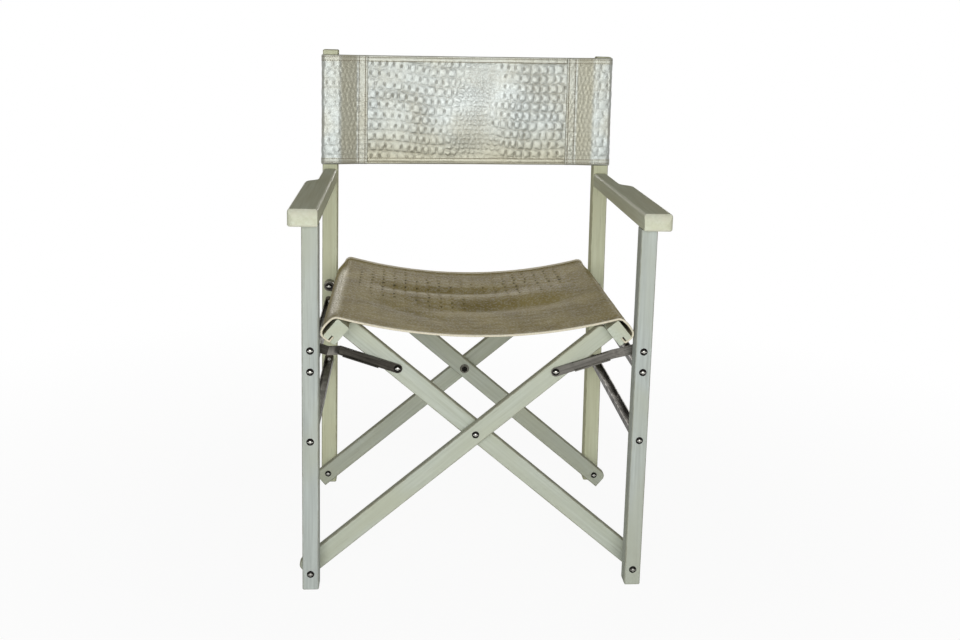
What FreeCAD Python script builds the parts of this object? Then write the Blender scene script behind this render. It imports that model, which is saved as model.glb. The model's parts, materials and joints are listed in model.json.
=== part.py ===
"""Folding camp chair with a leather seat and back: every piece is a solid of its own.

Millimetres. X runs across the chair (the sitter's right is -X), the front faces -Y and
Z = 0 is the floor. The sheet Sizes holds every size; the pieces are bound to it.
"""
import FreeCAD
import Part
import math
import os
import Sketcher

# Sizes that can be set one by one
SIZES = (
    ("leg_spacing", 524, "between the centre lines of the left and right legs"),
    ("front_leg_width", 26, "front leg, across the chair"),
    ("front_leg_depth", 30, "front leg, front to back"),
    ("post_width", 29, "rear post, across the chair"),
    ("post_depth", 30, "rear post, front to back"),
    ("post_lean", 3, "backward lean of the rear posts, degrees"),
    ("post_setback", 445, "front face of leg to front face of post, at the floor"),
    ("post_height", 847, "floor to the top of the posts"),
    ("wood_round", 2.5, "rounded edges of the legs, posts and bars"),
    ("arm_top", 622, "floor to the top of the armrests"),
    ("arm_thickness", 27, "armrest, top to bottom"),
    ("arm_wide", 46, "width of the armrest at the hand"),
    ("arm_narrow", 26, "width of the armrest at the post"),
    ("arm_overhang", 20, "armrest in front of the front leg"),
    ("arm_corner", 12, "rounded outer front corner of the armrest"),
    ("arm_nose_run", 9.4, "how far the rounded nose of the armrest leans back"),
    ("arm_nose_flat", 1.6, "upright strip of the armrest's nose"),
    ("arm_nose_under", 7, "rounded lower front edge of the armrest"),
    ("arm_wide_end", 293, "where the wide part of the armrest ends"),
    ("arm_curve", 45, "length of the curve from wide to narrow"),
    ("arm_top_round", 5, "rounded top edge of the armrest"),
    ("arm_low_round", 3, "rounded lower edge of the armrest"),
    ("tenon_diameter", 14, "round tenons of the armrest joints"),
    ("tenon_length", 14, "depth of the round tenons"),
    ("tenon_play", 0.05, "tenon to its hole, radial"),
    ("foot_pivot_height", 27, "floor to the lower pivots of the bars"),
    ("lower_stretcher_height", 250, "floor to the bolts of the lower stretchers"),
    ("link_pivot_height", 398, "floor to the pivots of the links"),
    ("stretcher_drop", 34, "pivots of the links to the bolts of the upper stretchers"),
    ("bolt_diameter", 6, "shank of the bolts and rivets"),
    ("bolt_play", 0.05, "shank to its hole, radial"),
    ("bolt_head_diameter", 12, "domed heads"),
    ("bolt_head_height", 3, "domed heads"),
    ("bolt_tip", 1, "shank standing out of its nut"),
    ("slot_width", 1.4, "screwdriver slot in the heads"),
    ("slot_depth", 1.2, "screwdriver slot in the heads"),
    ("nut_width", 10, "nuts, across the flats"),
    ("nut_height", 5, "nuts"),
    ("spotface_diameter", 15, "flat seats of the nuts on the leaning posts"),
    ("spotface_depth", 0.5, "flat seats, below the post's face at the bolt"),
    ("turn_gap", 0.3, "between the faces of pieces that turn"),
    ("stretcher_width", 16, "side stretcher, across the chair"),
    ("stretcher_height", 10, "side stretcher, top to bottom"),
    ("stretcher_plate", 1.5, "sheet of the side stretchers"),
    ("stretcher_tab", 15, "height of the bent end tabs"),
    ("stretcher_tab_round", 5, "rounded corners of the end tabs"),
    ("tab_hole_play", 0.15, "bolt to the hole in a tab, radial"),
    ("bar_width", 31, "crossed bar, on edge"),
    ("bar_thickness", 16, "crossed bar, front to back"),
    ("floor_gap", 2.27, "floor to the lowest corner of a bar"),
    ("bar_foot_round", 11, "rounded upper corner at the foot of a bar"),
    ("bar_head_round", 10, "rounded upper corner at the head of a bar"),
    ("bar_offset", 8, "front leg to the outer front bar"),
    ("bar_spacing", 1.5, "between the bars where they cross"),
    ("rear_bar_offset", 8.4, "rear post to the outer rear bar, at the pivot"),
    ("spacer_diameter", 14, "tubes between the legs and the bars"),
    ("link_spacer_diameter", 20, "tube between the left post and its link"),
    ("washer_thickness", 0.9, "washers at the crossings"),
    ("washer_diameter", 18, "washers at the crossings"),
    ("seat_gap", 2.2, "seat's leather to the legs and posts beside it"),
    ("seat_lift", 16.25, "pivots of the links to the seat's leather above them"),
    ("rail_thickness", 23.5, "seat rail, along the bar"),
    ("rail_below", 23.5, "seat rail below the bar's middle line"),
    ("rail_above", 12, "seat rail above the bar's middle line"),
    ("rail_round", 3, "rounded edges of the seat rails"),
    ("rail_front", 8, "front end of the seat rails"),
    ("rail_overrun", 29, "rear end of the seat rails behind the front of the posts' feet"),
    ("kerf_start", 8.5, "inner face of the rail to its groove"),
    ("kerf_width", 5, "groove that holds the seat's edge"),
    ("kerf_depth", 9.5, "groove that holds the seat's edge"),
    ("bar_tenon_length", 12, "tenon of a bar in its rail"),
    ("bar_tenon_width", 14, "tenon of a bar in its rail"),
    ("bar_tenon_thickness", 10, "tenon of a bar in its rail"),
    ("bar_tenon_play", 0.1, "bar tenon to its mortise, each side"),
    ("link_bar_point", 166, "crossing to the link's pivot on the bar"),
    ("link_width", 15, "links"),
    ("link_plate", 2, "sheet of the links"),
    ("link_flange", 5, "flanges of the pressed channel in a link"),
    ("link_flat", 27, "flat leg end of a link, from its pivot"),
    ("link_jog", 18, "length of a link's jog"),
    ("link_channel_gap", 7, "end of the jog to the pressed channel"),
    ("link_bar_flat", 30, "flat bar end of a link, from its pivot"),
    ("link_tip_flat", 0.2, "flat left at the rounded tips of a link"),
    ("leather", 2.2, "thickness of the leather"),
    ("leather_gap", 0.3, "leather to the wood it wraps"),
    ("leather_slack", 3.2, "leather to the outer face of a seat rail"),
    ("leather_bend", 7, "inner bend of the leather over the top of a rail"),
    ("seat_slope", 14.6, "slope of the seat where it leaves the rails, degrees"),
    ("seat_margin", 2, "end of a rail to the edge of the seat"),
    ("sling_gap", 12, "top of the armrests to the lower edge of the back"),
    ("sling_drop", 5.25, "top of the posts to the upper edge of the back"),
    ("sleeve_reach", 51, "middle of a post to the outer seam of its sleeve"),
    ("sleeve_band", 19, "outer seam to the inner end of a sleeve"),
    ("sleeve_taper", 4, "end of the sleeve's hollow to the outer seam"),
    ("sleeve_round", 4, "rounded outer corners of the sleeves"),
    ("back_bow", 5, "how far the back bows behind the posts' middle"),
)

# Sizes that follow from the ones above
DERIVED = (
    ("leg_x", "leg_spacing / 2"),
    ("front_leg_half", "front_leg_width / 2"),
    ("front_leg_mid", "front_leg_depth / 2"),
    ("post_half", "post_width / 2"),
    ("leg_length", "arm_top - arm_thickness"),
    ("arm_mid", "arm_top - arm_thickness / 2"),
    ("lean_tan", "tan(post_lean * 1deg)"),
    ("lean_sin", "sin(post_lean * 1deg)"),
    ("lean_cos", "cos(post_lean * 1deg)"),
    ("post_square_depth", "post_depth * lean_cos"),
    ("post_front_top", "post_setback + post_height * lean_tan"),
    ("post_rear_low", "post_setback + post_depth"),
    ("post_rear_top", "post_front_top + post_depth"),
    ("post_mid", "post_setback + post_depth / 2"),
    ("tenon_hole", "tenon_diameter + 2 * tenon_play"),
    ("tenon_hole_depth", "tenon_length + turn_gap"),
    ("bolt_radius", "bolt_diameter / 2"),
    ("bolt_hole", "bolt_diameter + 2 * bolt_play"),
    ("head_radius", "bolt_head_diameter / 2"),
    ("head_dome", "(head_radius ^ 2 + bolt_head_height ^ 2) / (2 * bolt_head_height)"),
    ("slot_half", "slot_width / 2"),
    ("slot_floor", "slot_depth - bolt_head_height"),
    ("nut_half", "nut_width / 2"),
    ("nut_corner", "nut_width / sqrt(3)"),
    ("nut_corner_half", "nut_corner / 2"),
    ("arm_outer", "arm_wide - front_leg_half"),
    ("arm_narrow_outer", "arm_narrow - front_leg_half"),
    ("arm_step", "(arm_outer - arm_narrow_outer) / 2"),
    ("arm_curve_outer", "arm_narrow_outer + arm_step"),
    ("arm_curve_mid", "arm_wide_end + arm_curve / 2"),
    ("arm_narrow_start", "arm_wide_end + arm_curve"),
    ("arm_curve_radius", "((arm_curve / 2) ^ 2 + arm_step ^ 2) / (2 * arm_step)"),
    ("arm_corner_outer", "arm_outer - arm_corner"),
    ("arm_corner_front", "arm_corner - arm_overhang"),
    ("arm_nose_back", "arm_nose_run - arm_overhang"),
    ("arm_nose_tuck", "arm_nose_under - arm_overhang"),
    ("arm_nose_low", "leg_length + arm_nose_under"),
    ("arm_nose_high", "arm_nose_low + arm_nose_flat"),
    ("arm_nose_drop", "arm_top - arm_nose_high"),
    ("arm_nose_round", "(arm_nose_run ^ 2 + arm_nose_drop ^ 2) / (2 * arm_nose_run)"),
    ("arm_rear_low", "post_setback + leg_length * lean_tan"),
    ("arm_rear_mid", "post_setback + arm_mid * lean_tan"),
    ("arm_rear_top", "post_setback + arm_top * lean_tan"),
    ("arm_tenon_start", "arm_rear_low - tenon_length / 2"),
    ("arm_tenon_reach", "arm_rear_mid - arm_tenon_start + tenon_length"),
    ("arm_bore", "arm_tenon_reach + turn_gap"),
    ("arm_span", "2 * arm_wide"),
    ("post_bore", "2 * post_depth + link_pivot_height * lean_tan"),
    ("leaning_quarter", "90 + post_lean"),
    ("stretcher_half", "stretcher_width / 2"),
    ("stretcher_inner", "stretcher_half - stretcher_plate"),
    ("stretcher_low", "stretcher_height / 2"),
    ("stretcher_floor", "stretcher_low - stretcher_plate"),
    ("stretcher_tab_top", "stretcher_tab - stretcher_low"),
    ("stretcher_front", "front_leg_depth + stretcher_plate"),
    ("tab_hole", "bolt_diameter + 2 * tab_hole_play"),
    ("stretcher_bolt_length", "stretcher_front + bolt_tip"),
    ("rear_stretcher_bolt_length", "post_square_depth + stretcher_plate + bolt_tip"),
    ("upper_stretcher_height", "link_pivot_height - stretcher_drop"),
    ("wrap_low_bend", "rail_round + leather_slack"),
    ("wrap_low_bend_out", "wrap_low_bend + leather"),
    ("wrap_under", "rail_below + leather_gap"),
    ("wrap_low", "wrap_under - wrap_low_bend"),
    ("seat_side", "leg_x - max(front_leg_half; post_half) - seat_gap"),
    ("bend_reach", "leg_x + seat_side - wrap_low_bend_out"),
    ("bend_rise", "link_pivot_height + seat_lift + wrap_low_bend_out - foot_pivot_height"),
    ("bend_distance", "sqrt(bend_reach ^ 2 + bend_rise ^ 2)"),
    ("bend_angle", "atan2(bend_rise; bend_reach) / 1deg"),
    ("bar_angle", "bend_angle + asin(wrap_low / bend_distance) / 1deg"),
    ("bar_sin", "sin(bar_angle * 1deg)"),
    ("bar_cos", "cos(bar_angle * 1deg)"),
    ("cross_reach", "leg_x / bar_cos"),
    ("cross_height", "foot_pivot_height + cross_reach * bar_sin"),
    ("bar_half", "bar_width / 2"),
    ("bar_foot", "(foot_pivot_height - floor_gap - bar_half * bar_cos) / bar_sin"),
    ("bar_low_end", "cross_reach + bar_foot"),
    ("wrap_corner", "sqrt(bend_distance ^ 2 - wrap_low ^ 2) - cross_reach"),
    ("rail_end", "wrap_corner + rail_round"),
    ("rail_start", "rail_end - rail_thickness"),
    ("bar_tenon_end", "rail_start + bar_tenon_length"),
    ("bar_tenon_root", "rail_start - bar_tenon_length / 2"),
    ("bar_tenon_half", "bar_tenon_width / 2"),
    ("mortise_end", "bar_tenon_end + bar_tenon_play"),
    ("mortise_half", "bar_tenon_half + bar_tenon_play"),
    ("mortise_thickness", "bar_tenon_thickness + 2 * bar_tenon_play"),
    ("outer_front_y", "front_leg_depth + bar_offset"),
    ("inner_front_y", "outer_front_y + bar_thickness + bar_spacing"),
    ("post_front_foot", "post_setback + foot_pivot_height * lean_tan"),
    ("outer_rear_y", "post_front_foot - rear_bar_offset - bar_thickness"),
    ("inner_rear_y", "outer_rear_y - bar_spacing - bar_thickness"),
    ("tenon_inset", "(bar_thickness - bar_tenon_thickness) / 2"),
    ("mortise_inset", "tenon_inset - bar_tenon_play"),
    ("outer_front_tenon", "outer_front_y + tenon_inset"),
    ("outer_rear_tenon", "outer_rear_y + tenon_inset"),
    ("inner_front_tenon", "inner_front_y + tenon_inset"),
    ("inner_rear_tenon", "inner_rear_y + tenon_inset"),
    ("outer_front_mortise", "outer_front_y + mortise_inset"),
    ("outer_rear_mortise", "outer_rear_y + mortise_inset"),
    ("inner_front_mortise", "inner_front_y + mortise_inset"),
    ("inner_rear_mortise", "inner_rear_y + mortise_inset"),
    ("rail_length", "post_setback + rail_overrun - rail_front"),
    ("kerf_inner", "rail_start + kerf_start"),
    ("kerf_outer", "kerf_inner + kerf_width"),
    ("kerf_roof", "rail_below - kerf_depth"),
    ("outer_front_back", "outer_front_y + bar_thickness"),
    ("inner_front_back", "inner_front_y + bar_thickness"),
    ("outer_rear_back", "outer_rear_y + bar_thickness"),
    ("inner_rear_back", "inner_rear_y + bar_thickness"),
    ("front_spacer_start", "front_leg_depth"),
    ("outer_front_spacer", "bar_offset - turn_gap"),
    ("inner_front_spacer", "inner_front_y - turn_gap - front_leg_depth"),
    ("rear_spacer_end", "post_front_foot - spacer_diameter / 2 * lean_tan"),
    ("outer_rear_spacer_start", "outer_rear_back + turn_gap"),
    ("inner_rear_spacer_start", "inner_rear_back + turn_gap"),
    ("outer_rear_spacer", "rear_spacer_end - outer_rear_spacer_start"),
    ("inner_rear_spacer", "rear_spacer_end - inner_rear_spacer_start"),
    ("outer_front_nut", "outer_front_back + turn_gap"),
    ("inner_front_nut", "inner_front_back + turn_gap"),
    ("outer_rear_head", "outer_rear_y - turn_gap"),
    ("inner_rear_head", "inner_rear_y - turn_gap"),
    ("outer_front_bolt", "outer_front_nut + nut_height + bolt_tip"),
    ("inner_front_bolt", "inner_front_nut + nut_height + bolt_tip"),
    ("foot_seat", "post_front_foot + post_depth - spotface_depth"),
    ("foot_tip", "foot_seat + nut_height + bolt_tip"),
    ("outer_rear_bolt", "foot_tip - outer_rear_head"),
    ("inner_rear_bolt", "foot_tip - inner_rear_head"),
    ("cross_front_bolt", "inner_front_bolt - outer_front_y"),
    ("nut_washer", "inner_rear_head - washer_thickness"),
    ("cross_rear_nut", "nut_washer - nut_height"),
    ("cross_rear_bolt", "outer_rear_back - cross_rear_nut + bolt_tip"),
    ("cross_washer_inset", "(bar_spacing - washer_thickness) / 2"),
    ("front_washer", "outer_front_back + cross_washer_inset"),
    ("rear_washer", "inner_rear_back + cross_washer_inset"),
    ("bar_point_x", "link_bar_point * bar_cos"),
    ("bar_point_height", "cross_height + link_bar_point * bar_sin"),
    ("link_rise", "bar_point_height - link_pivot_height"),
    ("link_length", "sqrt((leg_x - bar_point_x) ^ 2 + link_rise ^ 2)"),
    ("link_angle", "atan2(link_rise; leg_x - bar_point_x) / 1deg"),
    ("link_half", "link_width / 2"),
    ("link_end_round", "link_half - link_tip_flat / 2"),
    ("link_far_end", "link_length + link_half"),
    ("link_jog_end", "link_flat + link_jog"),
    ("link_channel_start", "link_jog_end + link_channel_gap"),
    ("link_channel_end", "link_length - link_bar_flat"),
    ("link_channel_width", "link_width - 2 * link_plate"),
    ("front_left_leg", "front_leg_depth + turn_gap"),
    ("front_right_leg", "front_leg_depth + turn_gap"),
    ("front_left_web", "inner_front_y - turn_gap - link_plate"),
    ("front_right_web", "outer_front_y - turn_gap - link_plate"),
    ("rear_right_web", "outer_rear_back + turn_gap"),
    ("rear_left_web", "inner_rear_back + turn_gap"),
    ("rear_link_face", "post_setback + (link_pivot_height - link_width) * lean_tan"),
    ("rear_right_leg", "rear_link_face - turn_gap - link_plate"),
    ("rear_link_jog", "rear_right_leg - rear_right_web"),
    ("rear_left_leg", "rear_left_web + rear_link_jog"),
    ("link_seat", "post_rear_low + link_pivot_height * lean_tan - spotface_depth"),
    ("link_post_face", "post_setback + (link_pivot_height - link_spacer_diameter / 2) * lean_tan"),
    ("link_spacer_start", "rear_left_leg + link_plate + turn_gap"),
    ("link_spacer_length", "link_post_face - link_spacer_start"),
    ("front_link_nut", "front_left_leg + link_plate + turn_gap"),
    ("front_link_bolt", "front_link_nut + nut_height + bolt_tip"),
    ("rear_left_link_head", "rear_left_leg - turn_gap"),
    ("rear_right_link_head", "rear_right_leg - turn_gap"),
    ("link_tip", "link_seat + nut_height + bolt_tip"),
    ("rear_left_link_bolt", "link_tip - rear_left_link_head"),
    ("rear_right_link_bolt", "link_tip - rear_right_link_head"),
    ("seat_sin", "sin(seat_slope * 1deg)"),
    ("seat_cos", "cos(seat_slope * 1deg)"),
    ("wrap_turn", "90 + seat_slope - bar_angle"),
    ("wrap_sin", "sin(wrap_turn * 1deg)"),
    ("wrap_cos", "cos(wrap_turn * 1deg)"),
    ("wrap_side", "rail_end + leather_slack"),
    ("wrap_side_out", "wrap_side + leather"),
    ("wrap_under_out", "wrap_under + leather"),
    ("wrap_bend_out", "leather_bend + leather"),
    ("wrap_middle", "wrap_side - leather_bend"),
    ("wrap_lift", "leather_bend - rail_round - leather_gap + (wrap_middle - wrap_corner) * wrap_cos"),
    ("wrap_top", "rail_above - rail_round - wrap_lift / wrap_sin"),
    ("wrap_tip_in", "wrap_middle + leather_bend * wrap_cos"),
    ("wrap_tip_in_top", "wrap_top + leather_bend * wrap_sin"),
    ("wrap_tip_out", "wrap_middle + wrap_bend_out * wrap_cos"),
    ("wrap_tip_out_top", "wrap_top + wrap_bend_out * wrap_sin"),
    ("tongue_inner", "kerf_inner + leather_gap"),
    ("tongue_outer", "kerf_outer - leather_gap"),
    ("tongue_roof", "kerf_roof + leather_gap"),
    ("seat_corner_x", "wrap_middle * bar_cos - wrap_top * bar_sin"),
    ("seat_corner_z", "cross_height + wrap_middle * bar_sin + wrap_top * bar_cos"),
    ("seat_top_x", "seat_corner_x - wrap_bend_out * seat_sin - leather_gap * seat_cos"),
    ("seat_top_z", "seat_corner_z + wrap_bend_out * seat_cos - leather_gap * seat_sin"),
    ("seat_low_x", "seat_top_x + leather * seat_sin"),
    ("seat_low_z", "seat_top_z - leather * seat_cos"),
    ("seat_radius", "seat_top_x / seat_sin"),
    ("seat_low_radius", "seat_radius + leather"),
    ("seat_front", "rail_front + seat_margin"),
    ("seat_depth", "rail_length - 2 * seat_margin"),
    ("sleeve_hollow", "post_half + leather_gap"),
    ("sleeve_hollow_depth", "post_square_depth / 2 + leather_gap"),
    ("sleeve_side", "sleeve_hollow + leather"),
    ("sleeve_depth", "sleeve_hollow_depth + leather"),
    ("sleeve_end_in", "sleeve_reach + sleeve_band"),
    ("sleeve_tip", "sleeve_reach - sleeve_taper"),
    ("sling_low", "arm_top + sling_gap"),
    ("sling_high", "post_height - sling_drop"),
    ("sling_length", "sling_high - sling_low"),
    ("panel_half", "leg_x - sleeve_end_in - leather_gap"),
    ("panel_face", "leather / 2"),
    ("panel_radius", "(panel_half ^ 2 + back_bow ^ 2) / (2 * back_bow)"),
    ("rear_most", "post_mid + sleeve_depth * lean_cos + sling_high * lean_sin"),
    ("mid_y", "(rear_most - arm_overhang) / 2"),
)


def stretcher_sizes(level):
    """Where a side stretcher and its bolts meet the leaning post."""
    height = f"{level}_stretcher_height"
    mid = f"{level}_rear_mid"
    return (
        (mid, f"post_setback + {height} * lean_tan"),
        (f"{level}_rear_low", f"{mid} - stretcher_low * lean_tan"),
        (f"{level}_rear_high", f"{mid} + stretcher_tab_top * lean_tan"),
        (f"{level}_tab_low", f"{mid} - stretcher_floor * lean_tan - stretcher_plate"),
        (f"{level}_tab_high", f"{level}_rear_high - stretcher_plate"),
        (f"{level}_flange", f"{level}_rear_low - front_leg_depth"),
        (f"{level}_bore_start", f"{mid} - post_depth / 2 * lean_cos"),
        (f"{level}_bore_height", f"{height} + post_depth / 2 * lean_sin"),
        (f"{level}_head_y", f"{mid} + post_square_depth * lean_cos"),
        (f"{level}_head_height", f"{height} - post_square_depth * lean_sin"),
    )


def link_sizes(name, flange):
    """The bends of a link; flange says where the edges of its flanges are."""
    step = f"{name}_web - {name}_leg"
    bend = f"link_plate * tan(atan2({step}; link_jog) / 2)"
    return (
        (f"{name}_leg_back", f"{name}_leg + link_plate"),
        (f"{name}_web_back", f"{name}_web + link_plate"),
        (f"{name}_jog", f"link_flat - {bend}"),
        (f"{name}_jog_end", f"link_jog_end - {bend}"),
        (f"{name}_flange", f"{name}_{flange}"),
    )


DERIVED += stretcher_sizes("lower") + stretcher_sizes("upper")
DERIVED += link_sizes("front_left", "web - link_flange")
DERIVED += link_sizes("front_right", "web - link_flange")
DERIVED += link_sizes("rear_left", "web_back + link_flange")
DERIVED += link_sizes("rear_right", "web_back + link_flange")

LEFT = -1
RIGHT = 1
SIDES = ((LEFT, "left"), (RIGHT, "right"))
ACROSS = FreeCAD.Vector(1, 0, 0)
REARWARD = FreeCAD.Vector(0, 1, 0)
TOWARDS_FRONT = FreeCAD.Vector(0, -1, 0)
UPWARD = FreeCAD.Vector(0, 0, 1)

doc = FreeCAD.newDocument("camp_chair")
sheet = doc.addObject("Spreadsheet::Sheet", "Sizes")
row = 0
for alias, size, note in SIZES:
    row += 1
    sheet.set(f"A{row}", alias)
    sheet.set(f"B{row}", str(size))
    sheet.setAlias(f"B{row}", alias)
    sheet.set(f"C{row}", note)
for alias, formula in DERIVED:
    row += 1
    sheet.set(f"A{row}", alias)
    sheet.set(f"B{row}", "=" + formula)
    sheet.setAlias(f"B{row}", alias)
doc.recompute()

nodes = []


def ref(name):
    """Expression for a size's name, a minus sign or a plain number allowed."""
    if name.startswith("-"):
        return "-" + ref(name[1:])
    return name if name.replace(".", "").isdigit() else f"Sizes.{name}"


def size_of(name):
    """Present value of a size's name, a minus sign or a plain number allowed."""
    if name.startswith("-"):
        return -size_of(name[1:])
    return float(name) if name.replace(".", "").isdigit() else float(sheet.get(name))


def signed(side, name):
    """The size's name, turned to its negative on the left side."""
    if side == RIGHT or name == "0":
        return name
    return name[1:] if name.startswith("-") else "-" + name


def mirrored(side, corners):
    """The corners of an outline, mirrored across the chair on the left side."""
    return [(signed(side, u), v) for u, v in corners]


def place(thing, x, y, z, axis=None, angle=None):
    """Bind where a piece stands; y is measured from the front face of the front legs."""
    if axis:
        thing.Placement = FreeCAD.Placement(FreeCAD.Vector(), FreeCAD.Rotation(axis, 1))
        thing.setExpression("Placement.Rotation.Angle", ref(angle) + " * 1deg")
    thing.setExpression("Placement.Base.x", ref(x))
    thing.setExpression("Placement.Base.y", ref(y) + " - Sizes.mid_y")
    thing.setExpression("Placement.Base.z", ref(z))


def new_body(label):
    """An empty body."""
    made = doc.addObject("PartDesign::Body", label)
    made.Label = label
    return made


def new_sketch(body, role, level="0"):
    """A sketch on one of the body's own planes, moved to a level along its axis."""
    made = body.newObject("Sketcher::SketchObject", body.Label + "_outline")
    plane = next(f for f in body.Origin.OriginFeatures if f.Role == role)
    made.AttachmentSupport = [(plane, "")]
    made.MapMode = "FlatFace"
    flipped = "-" if role == "XZ_Plane" else ""
    made.setExpression("AttachmentOffset.Base.z", f"{flipped}({ref(level)})")
    return made


def bind(sketch, kind, where, name):
    """Add one constraint to a sketch and bind it to a size."""
    number = sketch.addConstraint(Sketcher.Constraint(kind, *where, size_of(name)))
    sketch.setExpression(f"Constraints[{number}]", ref(name))


def bind_point(sketch, item, end, point):
    """Bind a point of a sketch to two sizes."""
    bind(sketch, "DistanceX", (-1, 1, item, end), point[0])
    bind(sketch, "DistanceY", (-1, 1, item, end), point[1])


def arc_between(start, end, radius, turn):
    """A short arc from start to end; turn is 1 for counter-clockwise and -1 for clockwise."""
    chord = end - start
    rise = math.sqrt(radius ** 2 - (chord.Length / 2) ** 2)
    normal = FreeCAD.Vector(-chord.y, chord.x, 0).normalize()
    centre = (start + end) / 2 + normal * rise * turn
    circle = Part.Circle(centre, UPWARD, radius)
    first, last = (start, end) if turn > 0 else (end, start)
    angles = [math.atan2(p.y - centre.y, p.x - centre.x) for p in (first, last)]
    return Part.ArcOfCircle(circle, *angles)


def outline(sketch, corners, arcs=None):
    """A closed outline through corners; arcs holds {side's number: (radius, turn)}."""
    arcs = arcs or {}
    points = [FreeCAD.Vector(size_of(u), size_of(v), 0) for u, v in corners]
    count = len(points)
    first = sketch.GeometryCount
    ends = []
    for i in range(count):
        start, stop = points[i], points[(i + 1) % count]
        if i in arcs:
            radius, turn = arcs[i]
            sketch.addGeometry(arc_between(start, stop, size_of(radius), turn))
            ends.append((1, 2) if turn > 0 else (2, 1))
        else:
            sketch.addGeometry(Part.LineSegment(start, stop))
            ends.append((1, 2))
    for i in range(count):
        following = (i + 1) % count
        joined = (first + i, ends[i][1], first + following, ends[following][0])
        sketch.addConstraint(Sketcher.Constraint("Coincident", *joined))
    for i in range(count):
        bind_point(sketch, first + i, ends[i][0], corners[i])
        if i in arcs:
            bind(sketch, "Radius", (first + i,), arcs[i][0])


def rectangle(sketch, left, low, right, high):
    """A rectangle between four sizes."""
    outline(sketch, [(left, low), (right, low), (right, high), (left, high)])


def circle(sketch, centre, diameter):
    """A circle bound to its centre and diameter."""
    where = FreeCAD.Vector(size_of(centre[0]), size_of(centre[1]), 0)
    item = sketch.addGeometry(Part.Circle(where, UPWARD, size_of(diameter) / 2))
    bind_point(sketch, item, 3, centre)
    bind(sketch, "Diameter", (item,), diameter)


def pad(body, sketch, length, middle=False):
    """Add material: to the rear, up, or evenly to both sides of the sketch."""
    made = body.newObject("PartDesign::Pad", body.Label + "_pad")
    made.Profile = sketch
    made.Midplane = middle
    made.Reversed = "XZ_Plane" == sketch.AttachmentSupport[0][0].Role
    made.setExpression("Length", ref(length))
    sketch.Visibility = False
    doc.recompute()
    return made


def pocket(body, sketch, length=None, middle=False):
    """Take material away: to the rear, up, evenly to both sides, or right through."""
    made = body.newObject("PartDesign::Pocket", body.Label + "_pocket")
    made.Profile = sketch
    made.Midplane = middle
    made.Reversed = "XZ_Plane" != sketch.AttachmentSupport[0][0].Role
    if length:
        made.setExpression("Length", ref(length))
    else:
        made.Type = "ThroughAll"
    sketch.Visibility = False
    doc.recompute()
    return made


def fillet(body, radius, wanted):
    """Round the edges of the body that wanted picks by its own frame."""
    tip = body.Tip
    names = [f"Edge{i + 1}" for i, edge in enumerate(tip.Shape.Edges) if wanted(edge)]
    made = body.newObject("PartDesign::Fillet", body.Label + "_round")
    made.Base = (tip, names)
    made.setExpression("Radius", ref(radius))
    doc.recompute()
    return made


def along(edge, axis):
    """Whether an edge is straight and runs along an axis."""
    if edge.Curve.TypeId != "Part::GeomLine":
        return False
    return abs(abs(edge.tangentAt(edge.FirstParameter).dot(axis)) - 1) < 1e-6


def near(number, name):
    """Whether a number is a size's value."""
    return abs(number - size_of(name)) < 1e-4


def node(thing, label):
    """Name a piece as one of the chair's files."""
    thing.Label = label
    nodes.append(thing)


def group(label, pieces):
    """Several like pieces as one file."""
    made = doc.addObject("Part::Compound", label)
    made.Links = pieces
    node(made, label)


def rod(label, diameter, length, x, y, z, axis_angle="90"):
    """A plain cylinder that runs to the rear from a point, for cutting holes."""
    made = doc.addObject("Part::Cylinder", label)
    made.setExpression("Radius", ref(diameter) + " / 2")
    made.setExpression("Height", ref(length))
    place(made, x, y, z, ACROSS, "-" + axis_angle)
    return made


def cut(base, tools, label):
    """A piece with holes cut by plain cylinders."""
    joined = doc.addObject("Part::Compound", label + "_holes")
    joined.Links = tools
    made = doc.addObject("Part::Cut", label)
    made.Base = base
    made.Tool = joined
    doc.recompute()
    return made


def bolt(label, x, y, z, length, headed=1, lean=None):
    """A domed and slotted bolt; headed is 1 with the head to the front and -1 to the rear."""
    body = new_body(label)
    sketch = new_sketch(body, "YZ_Plane")
    corners = [
        ("-bolt_head_height", "0"),
        ("0", "head_radius"),
        ("0", "bolt_radius"),
        (length, "bolt_radius"),
        (length, "0"),
    ]
    corners = [(u if headed > 0 else signed(LEFT, u), v) for u, v in corners]
    outline(sketch, corners, {0: ("head_dome", -headed)})
    turned = body.newObject("PartDesign::Revolution", label + "_turned")
    turned.Profile = sketch
    turned.ReferenceAxis = (sketch, ["H_Axis"])
    turned.Angle = 360
    sketch.Visibility = False
    doc.recompute()
    slot = new_sketch(body, "YZ_Plane")
    floor = "slot_floor" if headed > 0 else "-slot_floor"
    top = "-bolt_head_height" if headed > 0 else "bolt_head_height"
    rectangle(slot, top, "-slot_half", floor, "slot_half")
    pocket(body, slot, "bolt_head_diameter", middle=True)
    if lean:
        place(body, x, y, z, ACROSS, "-" + lean)
    else:
        place(body, x, y, z)
    return body


def nut(label, x, y, z):
    """A six-sided nut that starts at y and reaches to the rear."""
    body = new_body(label)
    sketch = new_sketch(body, "XZ_Plane")
    corners = [
        ("0", "-nut_corner"),
        ("nut_half", "-nut_corner_half"),
        ("nut_half", "nut_corner_half"),
        ("0", "nut_corner"),
        ("-nut_half", "nut_corner_half"),
        ("-nut_half", "-nut_corner_half"),
    ]
    outline(sketch, corners)
    circle(sketch, ("0", "0"), "bolt_hole")
    pad(body, sketch, "nut_height")
    place(body, x, y, z)
    return body


def tube(label, x, y, z, diameter, length):
    """A spacer or washer round a bolt that starts at y and reaches to the rear."""
    body = new_body(label)
    sketch = new_sketch(body, "XZ_Plane")
    circle(sketch, ("0", "0"), diameter)
    circle(sketch, ("0", "0"), "bolt_hole")
    pad(body, sketch, length)
    place(body, x, y, z)
    return body


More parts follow.
